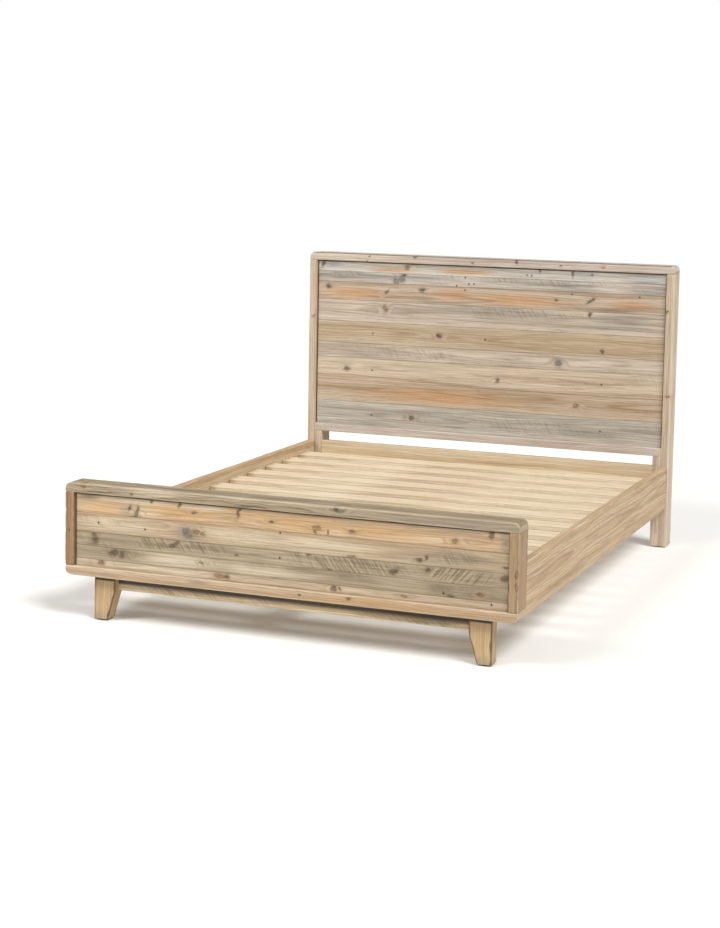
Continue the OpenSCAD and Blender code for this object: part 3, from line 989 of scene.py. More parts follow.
def eased_copy(node: str, ease: float, grain: Axis | None = None, seed: int = 0) -> bpy.types.Mesh:
    """Copies a CAD node's mesh, welds it and eases its long edges.

    Args:
        node: the CAD node.
        ease: bevel width.
        grain: the boards' direction, or None for metal and plastic.
        seed: gives each board its own part of the timber pattern.

    Returns:
        The eased mesh, with the timber attributes if a grain is given.
    """
    bm = bmesh.new()
    bm.from_mesh(frame["nodes"][node].data)
    bmesh.ops.remove_doubles(bm, verts=bm.verts, dist=WELD)
    bmesh.ops.dissolve_limit(bm, angle_limit=FLAT, verts=bm.verts, edges=bm.edges)
    long_edges = [e for e in bm.edges if len(e.link_faces) == 2 and e.calc_length() > LONG * ease
                  and e.calc_face_angle(0.0) > SHARP]
    bmesh.ops.bevel(bm, geom=long_edges, offset=ease, offset_type="OFFSET", segments=2, profile=0.5,
                    affect="EDGES", clamp_overlap=True)
    bmesh.ops.triangulate(bm, faces=[f for f in bm.faces if len(f.verts) > 4])
    made = bpy.data.meshes.new(node + "_eased")
    bm.to_mesh(made)
    bm.free()
    if grain is not None:
        points = np.array([v.co for v in made.vertices])
        at, seeds = np.zeros((len(points), 3)), np.zeros(len(points))
        slack = 1e-4
        for i, solid in enumerate(solids(node)):
            board = Board(solid.low, solid.high, grain, seed + i)
            low, high = np.array(solid.low) - slack, np.array(solid.high) + slack
            inside = np.all((points > low) & (points < high), axis=1)
            at[inside] = (points[inside] - np.array(board.middle()))[:, list(board.axes())]
            seeds[inside] = board.pattern_seed()
        mark(made, "board_at", at)
        mark(made, "board_seed", seeds)
        mark(made, "arris", np.zeros(len(points)))
        mark(made, "end_face", np.zeros(len(points)))
    return made


# Geometry Nodes


class GeometryTree(Nodes):
    """A Geometry Nodes tree with named inputs, run once on a mesh."""

    def __init__(self, name: str) -> None:
        """Makes a tree with a geometry input and output."""
        super().__init__(bpy.data.node_groups.new(name, "GeometryNodeTree"))
        for way in ("INPUT", "OUTPUT"):
            self.tree.interface.new_socket("Geometry", in_out=way, socket_type="NodeSocketGeometry")
        self.values: dict[str, object] = {}
        self.entry = self.node("NodeGroupInput")

    def ask(self, name: str, kind: str, value: object) -> bpy.types.NodeSocket:
        """Adds a named input.

        Args:
            name: the input's name.
            kind: its type, such as Float, Int, Vector, Object or Material.
            value: what the modifier sets it to.

        Returns:
            The socket inside the tree.
        """
        socket = self.tree.interface.new_socket(name, in_out="INPUT", socket_type="NodeSocket" + kind)
        self.values[socket.identifier] = value
        return self.entry.outputs[name]

    def copies(self, points: bpy.types.NodeSocket, pattern: bpy.types.NodeSocket,
               **sockets: object) -> bpy.types.NodeSocket:
        """Puts a copy of an object at every point.

        Args:
            points: the geometry with the points.
            pattern: the object that is copied.
            sockets: further inputs, such as Rotation and Scale.

        Returns:
            The instances.
        """
        shape = self.node("GeometryNodeObjectInfo", None, {"Object": pattern}).outputs["Geometry"]
        return self.node("GeometryNodeInstanceOnPoints", None,
                         {"Points": points, "Instance": shape, **sockets}).outputs[0]

    def chance(self, low: float, high: float, seed: bpy.types.NodeSocket) -> bpy.types.NodeSocket:
        """A random number from low to high for each point."""
        return self.node("FunctionNodeRandomValue", {"data_type": "FLOAT"},
                         {2: low, 3: high, "Seed": seed}).outputs[1]

    def run(self, result: bpy.types.NodeSocket, material: bpy.types.Material, mesh: bpy.types.Mesh,
            name: str) -> bpy.types.Mesh:
        """Ends the tree, runs it on a mesh and keeps the result as a plain mesh.

        Args:
            result: the geometry that the tree makes.
            material: its finish.
            mesh: the mesh it starts from.
            name: the new mesh's name.

        Returns:
            The plain mesh.
        """
        finish = self.ask("Finish", "Material", material)
        real = self.node("GeometryNodeRealizeInstances", None, {0: result}).outputs[0]
        dressed = self.node("GeometryNodeSetMaterial", None,
                            {"Geometry": real, "Material": finish}).outputs[0]
        self.node("NodeGroupOutput", None, {0: dressed})
        carrier = add_object(name + "_carrier", mesh)
        modifier = carrier.modifiers.new("make", "NODES")
        modifier.node_group = self.tree
        for identifier, value in self.values.items():
            modifier[identifier] = value
        bpy.context.view_layer.update()
        graph = bpy.context.evaluated_depsgraph_get()
        made = bpy.data.meshes.new_from_object(carrier.evaluated_get(graph), depsgraph=graph)
        made.name = name
        carrier.modifiers.remove(modifier)
        bpy.data.objects.remove(carrier)
        return made


def points_mesh(places: Sequence[Sequence[float]],
                aims: Sequence[Sequence[float]] = ()) -> bpy.types.Mesh:
    """A mesh of loose points, each with the direction it aims in if aims are given."""
    made = bpy.data.meshes.new("points")
    made.from_pydata([tuple(p) for p in places], [], [])
    if aims:
        mark(made, "aim", np.array(aims, float))
    return made


def drill(mesh: bpy.types.Mesh, holes: Sequence[Vector], material: bpy.types.Material,
          name: str) -> bpy.types.Mesh:
    """Cuts tapered nail holes into a board's front face with a Geometry Nodes tree.

    Args:
        mesh: the board.
        holes: where the nails were, on the face.
        material: the board's finish.
        name: the new mesh's name.

    Returns:
        The board with its holes.
    """
    tree = GeometryTree("nail_holes")
    spots = add_object("nail_points", points_mesh(holes))
    places = tree.ask("Places", "Object", spots)
    mouth = tree.ask("Mouth radius", "Float", 2.2 * MM)
    root = tree.ask("Root radius", "Float", 1.3 * MM)
    depth = tree.ask("Depth", "Float", 9.0 * MM)
    seed = tree.ask("Seed", "Int", 11)
    cone = tree.node("GeometryNodeMeshCone", {"fill_type": "NGON"},
                     {"Vertices": 10, "Radius Top": root, "Radius Bottom": mouth,
                      "Depth": depth}).outputs["Mesh"]
    centred = tree.node("GeometryNodeTransform", None,
                        {"Geometry": cone, "Translation": (0, 0, -1.0 * MM)}).outputs[0]
    size = tree.chance(0.8, 1.25, seed)
    scale = tree.node("ShaderNodeCombineXYZ", None, {0: size, 1: size, 2: 1.0}).outputs[0]
    points = tree.node("GeometryNodeObjectInfo", None, {"Object": places}).outputs["Geometry"]
    copies = tree.node("GeometryNodeInstanceOnPoints", None,
                       {"Points": points, "Instance": centred, "Rotation": (math.radians(-90), 0, 0),
                        "Scale": scale}).outputs[0]
    real = tree.node("GeometryNodeRealizeInstances", None, {0: copies}).outputs[0]
    cut = tree.node("GeometryNodeMeshBoolean", {"operation": "DIFFERENCE"},
                    {"Mesh 1": tree.entry.outputs[0], "Mesh 2": real}).outputs[0]
    made = tree.run(cut, material, mesh, name)
    bpy.data.objects.remove(spots)
    return made


# Sub-assemblies


@dataclass
class Joinery:
    """What every timber sub-assembly shares: boards for its CAD nodes and a finish for each."""

    seed: int = 0
    plain: Pine = Pine(pale="#E6D6BA", tan="#D5BD97", late="#B08E66", weather=0.06, saw=0.12, thread=0.26)

    def lay(self, node: str, grain: Axis, finish: Pine, slot: str, spots: Spots | None = None,
            **options: object) -> bpy.types.Object:
        """Builds the board of one CAD node and dresses it.

        Args:
            node: the CAD node.
            grain: the direction of the board.
            finish: its finish.
            slot: the record's material slot; not used.
            spots: marks on the front face.
            options: fields of Board.

        Returns:
            The finished piece.
        """
        self.seed += 1
        spots = spots or {}
        name = node + "_board"
        solid = solids(node)[0]
        board = Board(solid.low, solid.high, grain, self.seed * 10, **options)
        material = finish.material(name + "_pine", board.ovals(spots))
        mesh = board.mesh(name)
        if Mark.NAIL in spots:
            holes = [Vector((x * MM, board.low.y, z * MM)) for x, z, *_ in spots[Mark.NAIL]]
            mesh = drill(mesh, holes, material, name)
            board.place(mesh)
            mesh.shade_smooth()
            mesh.set_sharp_from_angle(angle=HOLE_EDGE)
        return publish(name, mesh, material, [node])

    def ease(self, node: str, grain: Axis, finish: Pine | None = None,
             slot: str = "plain_pine") -> bpy.types.Object:
        """Dresses a board that has joints or holes cut in it, as an eased copy of its CAD node."""
        self.seed += 1
        mesh = eased_copy(node, 1.5 * MM, grain, self.seed * 10)
        material = (finish or self.plain).material(node + "_board_pine")
        return publish(node + "_board", mesh, material, [node])


@dataclass
class EndFrame(Joinery):
    """What the headboard and the footboard share: rounded caps and a panel of planks."""

    corner: float = 22.0 * MM
    slots: tuple[str, ...] = ()
    spots: dict[int, Spots] = field(default_factory=dict)
    planks: tuple[Pine, ...] = ()

    def rounded(self, node: str, top: bool) -> dict[str, object]:
        """The fields of Board that round the outer corners of a cap or rail.

        Args:
            node: the board's CAD node.
            top: True rounds the upper corners, False the lower ones.

        Returns:
            The fields by name.
        """
        low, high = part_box(node)
        corner = tuple(low.x + self.corner * (1 - math.sin(math.radians(a))) for a in range(0, 90, 9))
        return {"shape": round_end(low.x, high.x, self.corner, top), "pitch": 10 * MM,
                "stations": corner + tuple(-u for u in corner)}

    @staticmethod
    def painted_corner_shade(node: str, top: bool) -> Spots:
        """Painted shade where a plank's ends, and the top plank's upper edge, meet the frame round it.

        Args:
            node: the plank's CAD node.
            top: whether it is the panel's top plank.

        Returns:
            The marks, in mm on the front face.
        """
        low, high = (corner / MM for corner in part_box(node))
        ends = ((low.x, high.z, 5.5, 400.0), (high.x, high.z, 4.5, 400.0))
        return {Mark.GLAZE: (*ends, (0.0, high.z, WHOLE, 6.5)) if top else ends}

    def panel(self, end: str, **options: object) -> None:
        """Lays the planks from the top down.

        Args:
            end: head or foot.
            options: fields of Board.
        """
        for number, (finish, slot) in enumerate(zip(self.planks, self.slots), 1):
            node = f"{end}_plank_{number}"
            marks = {**self.spots[number], **self.painted_corner_shade(node, number == 1)}
            self.lay(node, Axis.X, finish, slot, marks, ease=0.8 * MM, chips=3, **options)


@dataclass
class Headboard(EndFrame):
    """Cap, posts, lower rail and nine planks with their battens, leg blocks and stretcher."""

    seed: int = 100
    cap: Pine = Pine(pale="#D7CEC5", tan="#C5B5A9", late="#9D8671", weather=0.12, contrast=0.35, saw=0.08,
                     figure=0.03, ring=4.5 * MM, thread=0.5)
    post: Pine = Pine(pale="#D6C9B6", tan="#C1A88C", late="#977A5A", weather=0.08, contrast=0.35, saw=0.05)
    slots: tuple[str, ...] = ("panel_grey", "panel_grey", "panel_orange", "panel_grey", "panel_tan",
                              "panel_grey", "panel_grey", "panel_orange", "panel_grey")
    spots: dict[int, Spots] = field(default_factory=lambda: {
        1: {Mark.KNOT: ((-760, 1136, 7, 17, -28), (235, 1146, 4, 9), (382, 1140, 4.5, 15, -6),
                        (465, 1134, 4, 4)),
            Mark.RED: ((-365, 1131, 13, 8, 20),),
            Mark.GREY: ((430, 1134, 45, 22), (-720, 1140, 60, 20), (700, 1120, 90, 30)),
            Mark.WARM: ((-430, 1120, 110, 14), (-100, 1124, 130, 12)),
            Mark.NAIL: ((180, 1121), (201, 1120))},
        2: {Mark.SLATE: ((-414, 1067, 13, 15, 10), (-386, 1084, 13, 20, -20)),
            Mark.KNOT: ((-376, 1098, 5, 6), (-792, 1072, 6, 9, 20)),
            Mark.SAW: ((-640, 1093, 75, 14), (-170, 1098, 50, 12), (60, 1095, 60, 12), (300, 1095, 75, 14),
                       (500, 1097, 60, 14)),
            Mark.GREY: ((-250, 1090, 170, 30), (120, 1088, 200, 30), (720, 1068, 120, 16)),
            Mark.NAIL: ((-97, 1099), (-80, 1072), (-57, 1073), (-135, 1062))},
        3: {Mark.KNOT: ((-733, 1036, 10, 9, 20), (-458, 1021, 9, 6, 35), (-293, 1036, 12, 8),
                        (312, 1021, 6, 5), (455, 1020, 10, 5, 40), (470, 1030, 9, 5, 40)),
            Mark.WARM: ((-620, 1012, 140, 26), (-150, 1020, 90, 26), (150, 1012, 200, 24),
                        (640, 1012, 90, 20)),
            Mark.GREY: ((-540, 1050, 150, 7), (-200, 985, 110, 8), (560, 985, 110, 7)),
            Mark.NAIL: ((-97, 1045), (380, 1048), (672, 1049))},
        4: {Mark.RED: ((-462, 948, 9, 15, 15),),
            Mark.KNOT: ((461, 966, 8, 9),),
            Mark.SAW: ((160, 955, 260, 26),),
            Mark.GREY: ((0, 950, 340, 34), (600, 940, 150, 30)),
            Mark.PALE: ((-600, 950, 110, 24),)},
        5: {Mark.KNOT: ((-210, 840, 9, 8), (520, 812, 7, 7)), Mark.NAIL: ((-520, 835), (0, 835))},
        6: {Mark.SLATE: ((330, 752, 14, 12),), Mark.SAW: ((-300, 755, 200, 24),)},
        7: {Mark.KNOT: ((-640, 672, 10, 9), (60, 662, 8, 8)), Mark.NAIL: ((520, 671), (-520, 671))},
        8: {Mark.RED: ((410, 575, 11, 9),), Mark.WARM: ((-200, 570, 320, 34),)},
        9: {Mark.KNOT: ((-330, 470, 11, 9),), Mark.SAW: ((200, 470, 260, 30),),
            Mark.NAIL: ((-520, 472), (520, 472))},
    })
    planks: tuple[Pine, ...] = (
        Pine(pale="#E0DBD3", tan="#C3BDB4", late="#94897C", grey="#8E8D8A", bleach="#C8C9C5",
             edge="#958E80", weather=0.45, saw=0.12, pith=(0.03, 0.06)),
        Pine(pale="#D9CDC2", tan="#BEB3A6", late="#8F8377", grey="#87857F", bleach="#C2BBB2",
             edge="#8D8173", weather=0.62, saw=0.40, saw_pitch=0.011),
        Pine(pale="#D0C0AE", tan="#B79F86", late="#8D755C", warm="#D0A47C", edge="#7F6C58", weather=0.14,
             contrast=0.55, pith=(-0.02, 0.03)),
        Pine(pale="#D6C8B7", tan="#BDAF9F", late="#907E6E", grey="#91887D", bleach="#C5BCB1",
             edge="#8D8174", weather=0.50, saw=0.30, saw_pitch=0.008),
        Pine(pale="#D6C8B0", tan="#BDA98E", late="#927859", edge="#866E56", weather=0.22, pith=(0.0, 0.03)),
        Pine(pale="#D8CABA", tan="#B9AB99", late="#887863", grey="#8D857A", bleach="#C0B5A7",
             edge="#8D7E70", weather=0.52),
        Pine(pale="#D7C7B0", tan="#BBA78D", late="#8D7357", edge="#8D7053", weather=0.42),
        Pine(pale="#CFBFAB", tan="#B69F82", late="#8B7256", warm="#CDA57E", edge="#7F6C58", weather=0.16,
             pith=(0.02, 0.03)),
        Pine(pale="#D8D3C5", tan="#B8B1A6", late="#897F70", grey="#8B8880", bleach="#C0BEB9",
             edge="#8F877D", weather=0.48),
    )

    def build(self) -> None:
        """Builds and dresses the headboard."""
        # The cap's last mark is painted shade along its top edge.
        self.lay("head_cap", Axis.X, self.cap, "frame_timber",
                 {Mark.KNOT: ((-536, 1176, 3, 3), (-546, 1154, 4, 3), (-322, 1181, 8, 5, 20),
                              (137, 1177, 4, 9), (330, 1168, 5, 3, 20)),
                  Mark.RED: ((-60, 1164, 6, 4), (516, 1169, 8, 4, 10)),
                  Mark.PALE: ((-600, 1168, 260, 26),), Mark.GLAZE: ((0, 1187, WHOLE, 6),)},
                 ease=2.5 * MM, **self.rounded("head_cap", True))
        posts: dict[str, Spots] = {"left": {Mark.RED: ((-800, 900, 8, 4),)},
                                   "right": {Mark.KNOT: ((790, 993, 9, 4),),
                                             Mark.RED: ((806, 640, 12, 5),)}}
        for side, spots in posts.items():
            self.lay("head_post_" + side, Axis.Z, self.post, "frame_timber", spots,
                     ease=2.5 * MM, pitch=12 * MM)
            self.ease("head_leg_block_" + side, Axis.Z, self.post, "leg_timber")
        self.lay("head_lower_rail", Axis.X, self.cap, "frame_timber")
        self.panel("head")
        self.ease("head_battens", Axis.Z)
        self.ease("head_stretcher", Axis.X)


@dataclass
class Footboard(EndFrame):
    """Cap, bottom rail, stiles and five planks, with battens, corner blocks, stretcher, legs and apron."""

    seed: int = 200
    taper_top: float = 106.0 * MM
    taper: float = 30.0 * MM
    cap: Pine = Pine(pale="#B0A188", tan="#98876C", late="#64553E", grey="#807462", bleach="#9D9080",
                     weather=0.22, contrast=0.85, saw=0.05, pith=(0.0, 0.022), figure=0.035,
                     ring=4.5 * MM, thread=0.75, edge_share=0.35)
    rail: Pine = Pine(pale="#CABAA2", tan="#B49A7C", late="#8C6E4F", warm="#BB9B74", weather=0.08,
                      contrast=0.35, saw=0.05, figure=0.03, ring=5.0 * MM, edge_share=0.4)
    stile_left: Pine = Pine(pale="#A38460", tan="#8D6C49", late="#674C30", weather=0.05, contrast=0.4,
                            saw=0.05)
    stile_right: Pine = Pine(pale="#AB9272", tan="#947558", late="#6D5037", weather=0.08, contrast=0.5,
                             saw=0.05)
    leg: Pine = Pine(pale="#CBB08A", tan="#BEA079", late="#8F704D", weather=0.20, contrast=0.25, saw=0.08,
                     figure=0.09, edge="#5C482F", edge_share=0.8, thread=0.55)
    apron: Pine = Pine(pale="#FCE9C7", tan="#DFC29B", late="#A08361", weather=0.30, saw=0.45,
                       saw_lean=40.0, saw_pitch=10.0 * MM)
    slots: tuple[str, ...] = ("panel_orange", "panel_tan", "panel_grey", "panel_grey", "panel_tan")
    spots: dict[int, Spots] = field(default_factory=lambda: {
        1: {Mark.KNOT: ((-546, 400, 5, 18, -12), (-574, 412, 4, 11, -20), (-556, 384, 12, 5, 20),
                        (-490, 444, 5, 6), (-384, 440, 4, 10, -12), (-164, 435, 5, 19, -12),
                        (722, 438, 7, 13), (113, 391, 5, 5), (161, 394, 3.5, 7, -10),
                        (-42, 412, 9, 4)),
            Mark.RED: ((120, 406, 15, 9), (244, 405, 13, 6), (-330, 417, 9, 4),
                       (600, 405, 10, 7)),
            Mark.WARM: ((-680, 400, 70, 18), (-400, 410, 130, 22), (60, 415, 190, 30), (340, 410, 160, 26),
                        (-120, 432, 90, 12)),
            Mark.GREY: ((-735, 436, 45, 14), (635, 371, 32, 10), (766, 412, 14, 44), (-565, 400, 45, 22)),
            Mark.PALE: ((-560, 440, 130, 12), (-520, 395, 70, 20), (-300, 440, 90, 12))},
        2: {Mark.SLATE: ((-352, 345, 21, 16, -15),),
            Mark.RED: ((-322, 352, 12, 8), (-296, 347, 8, 7, -20), (242, 321, 12, 6, 10)),
            Mark.KNOT: ((480, 333, 10, 6), (506, 344, 5, 8, -40), (772, 336, 8, 3)),
            Mark.SAW: ((610, 345, 60, 20),),
            Mark.GREY: ((-350, 345, 60, 22), (560, 345, 190, 26)),
            Mark.PALE: ((-620, 350, 150, 26), (-150, 350, 150, 26), (140, 348, 190, 24)),
            Mark.NAIL: ((-695, 350), (-515, 343), (-11, 377))},
        3: {Mark.KNOT: ((-713, 308, 9, 9), (-708, 290, 13, 13, -30), (-392, 307, 12, 7, 20),
                        (-408, 297, 16, 6, 20), (-170, 286, 6, 3), (93, 313, 7, 4),
                        (167, 268, 8, 4), (395, 287, 14, 9, 30), (510, 304, 8, 6),
                        (770, 300, 12, 10)),
            Mark.SAW: ((-480, 300, 60, 24), (-330, 300, 120, 20), (240, 292, 200, 32), (80, 305, 60, 14)),
            Mark.BACK_SAW: ((610, 295, 120, 28),),
            Mark.GREY: ((-560, 292, 260, 32), (600, 290, 250, 34), (260, 290, 180, 30)),
            Mark.NAIL: ((-11, 293),)},
        4: {Mark.KNOT: ((-632, 252, 16, 9, 25), (-602, 248, 10, 13, -20), (590, 224, 11, 5)),
            Mark.SAW: ((-620, 250, 60, 16), (-290, 248, 50, 12)),
            Mark.GREY: ((-640, 250, 130, 24), (70, 256, 90, 12), (250, 250, 110, 20), (560, 245, 60, 26),
                        (700, 245, 110, 24)),
            Mark.PALE: ((-380, 246, 150, 22), (-60, 240, 150, 20)),
            Mark.RED: ((690, 240, 16, 7), (-300, 248, 7, 4)),
            Mark.NAIL: ((566, 232),)},
        5: {Mark.RED: ((-686, 214, 12, 10), (-232, 210, 20, 9), (430, 209, 14, 4)),
            Mark.KNOT: ((-205, 210, 7, 6), (184, 210, 8, 8), (206, 211, 6, 4)),
            Mark.PALE: ((-480, 208, 200, 14),),
            Mark.NAIL: ((728, 211),)},
    })
    planks: tuple[Pine, ...] = (
        Pine(pale="#D7C4A7", tan="#C3A585", late="#997C4C", edge="#8B744C", warm="#CCA97F", weather=0.10,
             contrast=0.42, saw=0.08, pith=(-0.015, 0.03)),
        Pine(pale="#C2AF94", tan="#AF977B", late="#897152", edge="#866F4E", weather=0.14, contrast=0.38,
             saw=0.45, pith=(0.01, 0.035)),
        Pine(pale="#B5A68C", tan="#9C8D75", late="#70634D", grey="#8A7C66", bleach="#A6977E",
             edge="#6F624C", weather=0.50, contrast=0.42, saw=0.62, saw_pitch=0.0095, saw_lean=52.0),
        Pine(pale="#B0A087", tan="#99876E", late="#71604A", grey="#837660", bleach="#9A8C76",
             edge="#706049", weather=0.40, contrast=0.42, saw=0.5, saw_pitch=0.011),
        Pine(pale="#CABAA3", tan="#B49D83", late="#8D7455", edge="#8B7455", weather=0.08, contrast=0.4,
             saw=0.05),
    )

    def build(self) -> None:
        """Builds and dresses the footboard."""
        self.lay("foot_cap", Axis.X, self.cap, "frame_timber",
                 {Mark.RED: ((-748, 479, 10, 12),),
                  Mark.KNOT: ((190, 475, 9, 7, 20), (-560, 462, 6, 3)),
                  Mark.SLATE: ((206, 470, 12, 6),),
                  Mark.SAW: ((-300, 472, 40, 12),),
                  Mark.PALE: ((-480, 470, 90, 16),),
                  Mark.GREY: ((560, 468, 260, 18), (-700, 460, 50, 10))},
                 ease=3.0 * MM, **self.rounded("foot_cap", True))
        self.lay("foot_bottom_rail", Axis.X, self.rail, "frame_timber",
                 {Mark.KNOT: ((243, 183, 9, 5), (65, 178, 5, 3)), Mark.GREY: ((-300, 182, 45, 10),),
                  Mark.WARM: ((350, 175, 330, 18),)},
                 ease=3.0 * MM, **self.rounded("foot_bottom_rail", False))
        # The left stile's last mark is painted shade on its inner face, in the corner beside the panel.
        self.lay("foot_stile_left", Axis.Z, self.stile_left, "frame_timber",
                 {Mark.KNOT: ((-805, 316, 5, 4),), Mark.GLAZE: ((-786, 320, 1.5, 400),)},
                 ease=2.5 * MM, pitch=8 * MM)
        self.lay("foot_stile_right", Axis.Z, self.stile_right, "frame_timber",
                 {Mark.RED: ((812, 318, 7, 14), (812, 280, 6, 12))}, ease=2.5 * MM, pitch=8 * MM)
        self.panel("foot", pitch=12 * MM)
        for side, sign in (("left", -1), ("right", 1)):
            # Each leg gets painted shade at its top, under the bottom rail, and grey weathering at its
            # foot.
            self.lay("foot_leg_" + side, Axis.Z, self.leg, "leg_timber",
                     {Mark.GLAZE: ((sign * 684, 152, 400, 10),), Mark.GREY: ((sign * 699, 6, 60, 26),)},
                     ease=2.5 * MM, pitch=8 * MM, shape=self.leg_shape(sign), stations=(self.taper_top,))
        # The apron's last mark is painted shadow cast by the bottom rail on its upper part.
        self.lay("foot_apron", Axis.X, self.apron, "frame_timber",
                 {Mark.SAW: ((-400, 134, 200, 26), (480, 125, 140, 26)), Mark.GREY: ((450, 130, 180, 24),),
                  Mark.GLAZE: ((0, 152, WHOLE, 28),)})
        self.ease("foot_battens", Axis.Z)
        self.ease("foot_corner_blocks", Axis.Z)
        self.ease("foot_stretcher", Axis.X)

    def leg_shape(self, sign: int) -> Callable[[float], Insets]:
        """How a leg narrows below the apron on the side that faces the middle of the bed.

        Args:
            sign: -1 for the left leg, 1 for the right leg.

        Returns:
            A function from the height to the leg's four insets.
        """
        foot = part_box("foot_leg_left")[0].z

        def insets(z: float) -> Insets:
            """Insets at one height."""
            cut = self.taper * min(max((self.taper_top - z) / (self.taper_top - foot), 0.0), 1.0)
            return (cut, 0.0, 0.0, 0.0) if sign > 0 else (0.0, cut, 0.0, 0.0)

        return insets


@dataclass
class SideRails(Joinery):
    """The two side rails and the ledgers that carry the slats."""

    seed: int = 300
    rail: Pine = Pine(pale="#D5C0A0", tan="#BC9F7B", late="#8C6F50", weather=0.26, contrast=0.45, saw=0.18,
                      figure=0.035)

    def build(self) -> None:
        """Builds and dresses both sides."""
        for side in ("left", "right"):
            self.lay("side_rail_" + side, Axis.Y, self.rail, "frame_timber", ease=2.5 * MM, chips=8)
            self.ease("slat_ledger_" + side, Axis.Y)


@dataclass
class SlatDeck(Joinery):
    """Eleven slats laid by a Geometry Nodes tree."""

    seed: int = 400
    plain: Pine = Pine(pale="#E9DBC2", tan="#D9C5A2", late="#B99A74", weather=0.06, saw=0.16, thread=0.26)

    def build(self) -> None:
        """Lays the slats on the ledgers and the centre beam."""
        nodes = sorted((n for n in frame["nodes"] if n.startswith("slat_") and n[5:].isdigit()),
                       key=lambda n: int(n[5:]))
        low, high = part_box(nodes[0])
        step = (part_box(nodes[-1])[0] - low) / (len(nodes) - 1)
        board = Board(low, high, Axis.X, self.seed, ease=1.8 * MM, pitch=30 * MM)
        pattern = add_object("slat_pattern", board.mesh("slat_pattern"))
        tree = GeometryTree("slat_run")
        slat = tree.ask("Slat", "Object", pattern)
        count = tree.ask("Count", "Int", len(nodes))
        pitch = tree.ask("Pitch", "Vector", tuple(step))
        seed = tree.ask("Seed", "Int", 5)
        row = tree.node("GeometryNodeMeshLine", None, {"Count": count, "Offset": pitch}).outputs[0]
        named = tree.node("GeometryNodeStoreNamedAttribute", {"data_type": "FLOAT", "domain": "INSTANCE"},
                          {"Geometry": tree.copies(row, slat), "Name": "board_seed",
                           "Value": tree.chance(0.0, 1.0, seed)}).outputs[0]
        material = self.plain.material("slat_pine")
        mesh = tree.run(named, material, bpy.data.meshes.new("empty"), "slats")
        bpy.data.objects.remove(pattern)
        publish("slats", mesh, material, nodes)


@dataclass
class CentreSupport(Joinery):
    """Centre beam, two support legs and their levelling feet; the beam's steel hangers are built with the
    hardware.
    """

    seed: int = 500
    plain: Pine = Pine(pale="#E3D2B6", tan="#D2B891", late="#AC8960", weather=0.08, saw=0.16, thread=0.26)
    zinc: Zinc = Zinc()
    plastic: MouldedPlastic = MouldedPlastic()
    thread_pitch: float = 1.5 * MM
    thread_depth: float = 0.9 * MM
    sides: int = 24

    def build(self) -> None:
        """Builds and dresses the support under the middle of the deck."""
        self.ease("centre_beam", Axis.Y)
        for end in ("head", "foot"):
            self.ease("support_leg_" + end, Axis.Z)
            self.stem(end)
            pad = eased_copy("leveller_pad_" + end, 0.8 * MM)
            publish("leveller_pad_" + end + "_moulded", pad, self.plastic.material("pad_plastic_" + end),
                    ["leveller_pad_" + end], "leveller_pad_body_" + end)

    def stem(self, end: str) -> None:
        """Builds one threaded stem with its hexagon, on its own body.

        Args:
            end: head or foot.
        """
        node = "leveller_stem_" + end
        solid = solids(node)[0]
        height = solid.points[:, 2]
        middle = (solid.low + solid.high) / 2
        reach = np.hypot(solid.points[:, 0] - middle.x, solid.points[:, 1] - middle.y)
        hexagon = height[reach > 0.8 * reach.max()]
        hex_low, hex_high = hexagon.min(), hexagon.max()
        bm = bmesh.new()
        self.thread(bm, middle, reach[height > hex_high + MM].max(), hex_high, solid.high.z)
        self.hexagon(bm, middle, reach.max(), hex_low, hex_high)
        below = reach[height < hex_low - 0.2 * MM]
        if len(below):
            self.disc(bm, middle, below.max(), solid.low.z, hex_low)
        name = node + "_threaded"
        publish(name, kept_mesh(bm, name), self.zinc.material("stem_zinc_" + end), [node],
                "leveller_stem_body_" + end)

    def thread(self, bm: bmesh.types.BMesh, middle: Vector, radius: float, low: float, high: float) -> None:
        """Adds the threaded rod with its pointed tip.

        Args:
            bm: where it is added.
            middle: its axis.
            radius: the crests' radius.
            low: the height of its start, on top of the hexagon.
            high: the height of its tip.
        """
        levels = np.arange(low, high - 1.0 * MM, self.thread_pitch / 4)
        rows = []
        for z in levels:
            fade = min(1.0, (z - low) / (2 * MM), (levels[-1] - z) / (1.5 * MM))
            row = []
            for k in range(self.sides):
                phase = (z / self.thread_pitch - k / self.sides) % 1.0
                here = radius - self.thread_depth * max(fade, 0.0) * abs(2 * phase - 1)
                row.append(bm.verts.new(around(middle, here, 2 * math.pi * k / self.sides, z)))
            rows.append(row)
        centre = middle.xy
        rows.append([bm.verts.new((*(centre + (v.co.xy - centre) * 0.8), high)) for v in rows[-1]])
        skin(bm, rows)

    @staticmethod
    def hexagon(bm: bmesh.types.BMesh, middle: Vector, radius: float, low: float, high: float) -> None:
        """Adds a hexagon with eased corners between two heights."""
        levels = ((low, 0.93), (low + 0.5 * MM, 1.0), (high - 0.5 * MM, 1.0), (high, 0.93))
        skin(bm, [[bm.verts.new(around(middle, radius * share, math.pi / 3 * k + turn, z))
                   for k in range(6) for turn in (-0.06, 0.06)] for z, share in levels])

    def disc(self, bm: bmesh.types.BMesh, middle: Vector, radius: float, low: float, high: float) -> None:
        """Adds the plain round end below the hexagon."""
        skin(bm, [[bm.verts.new(around(middle, radius, 2 * math.pi * k / self.sides, z))
                   for k in range(self.sides)] for z in (low, high)])


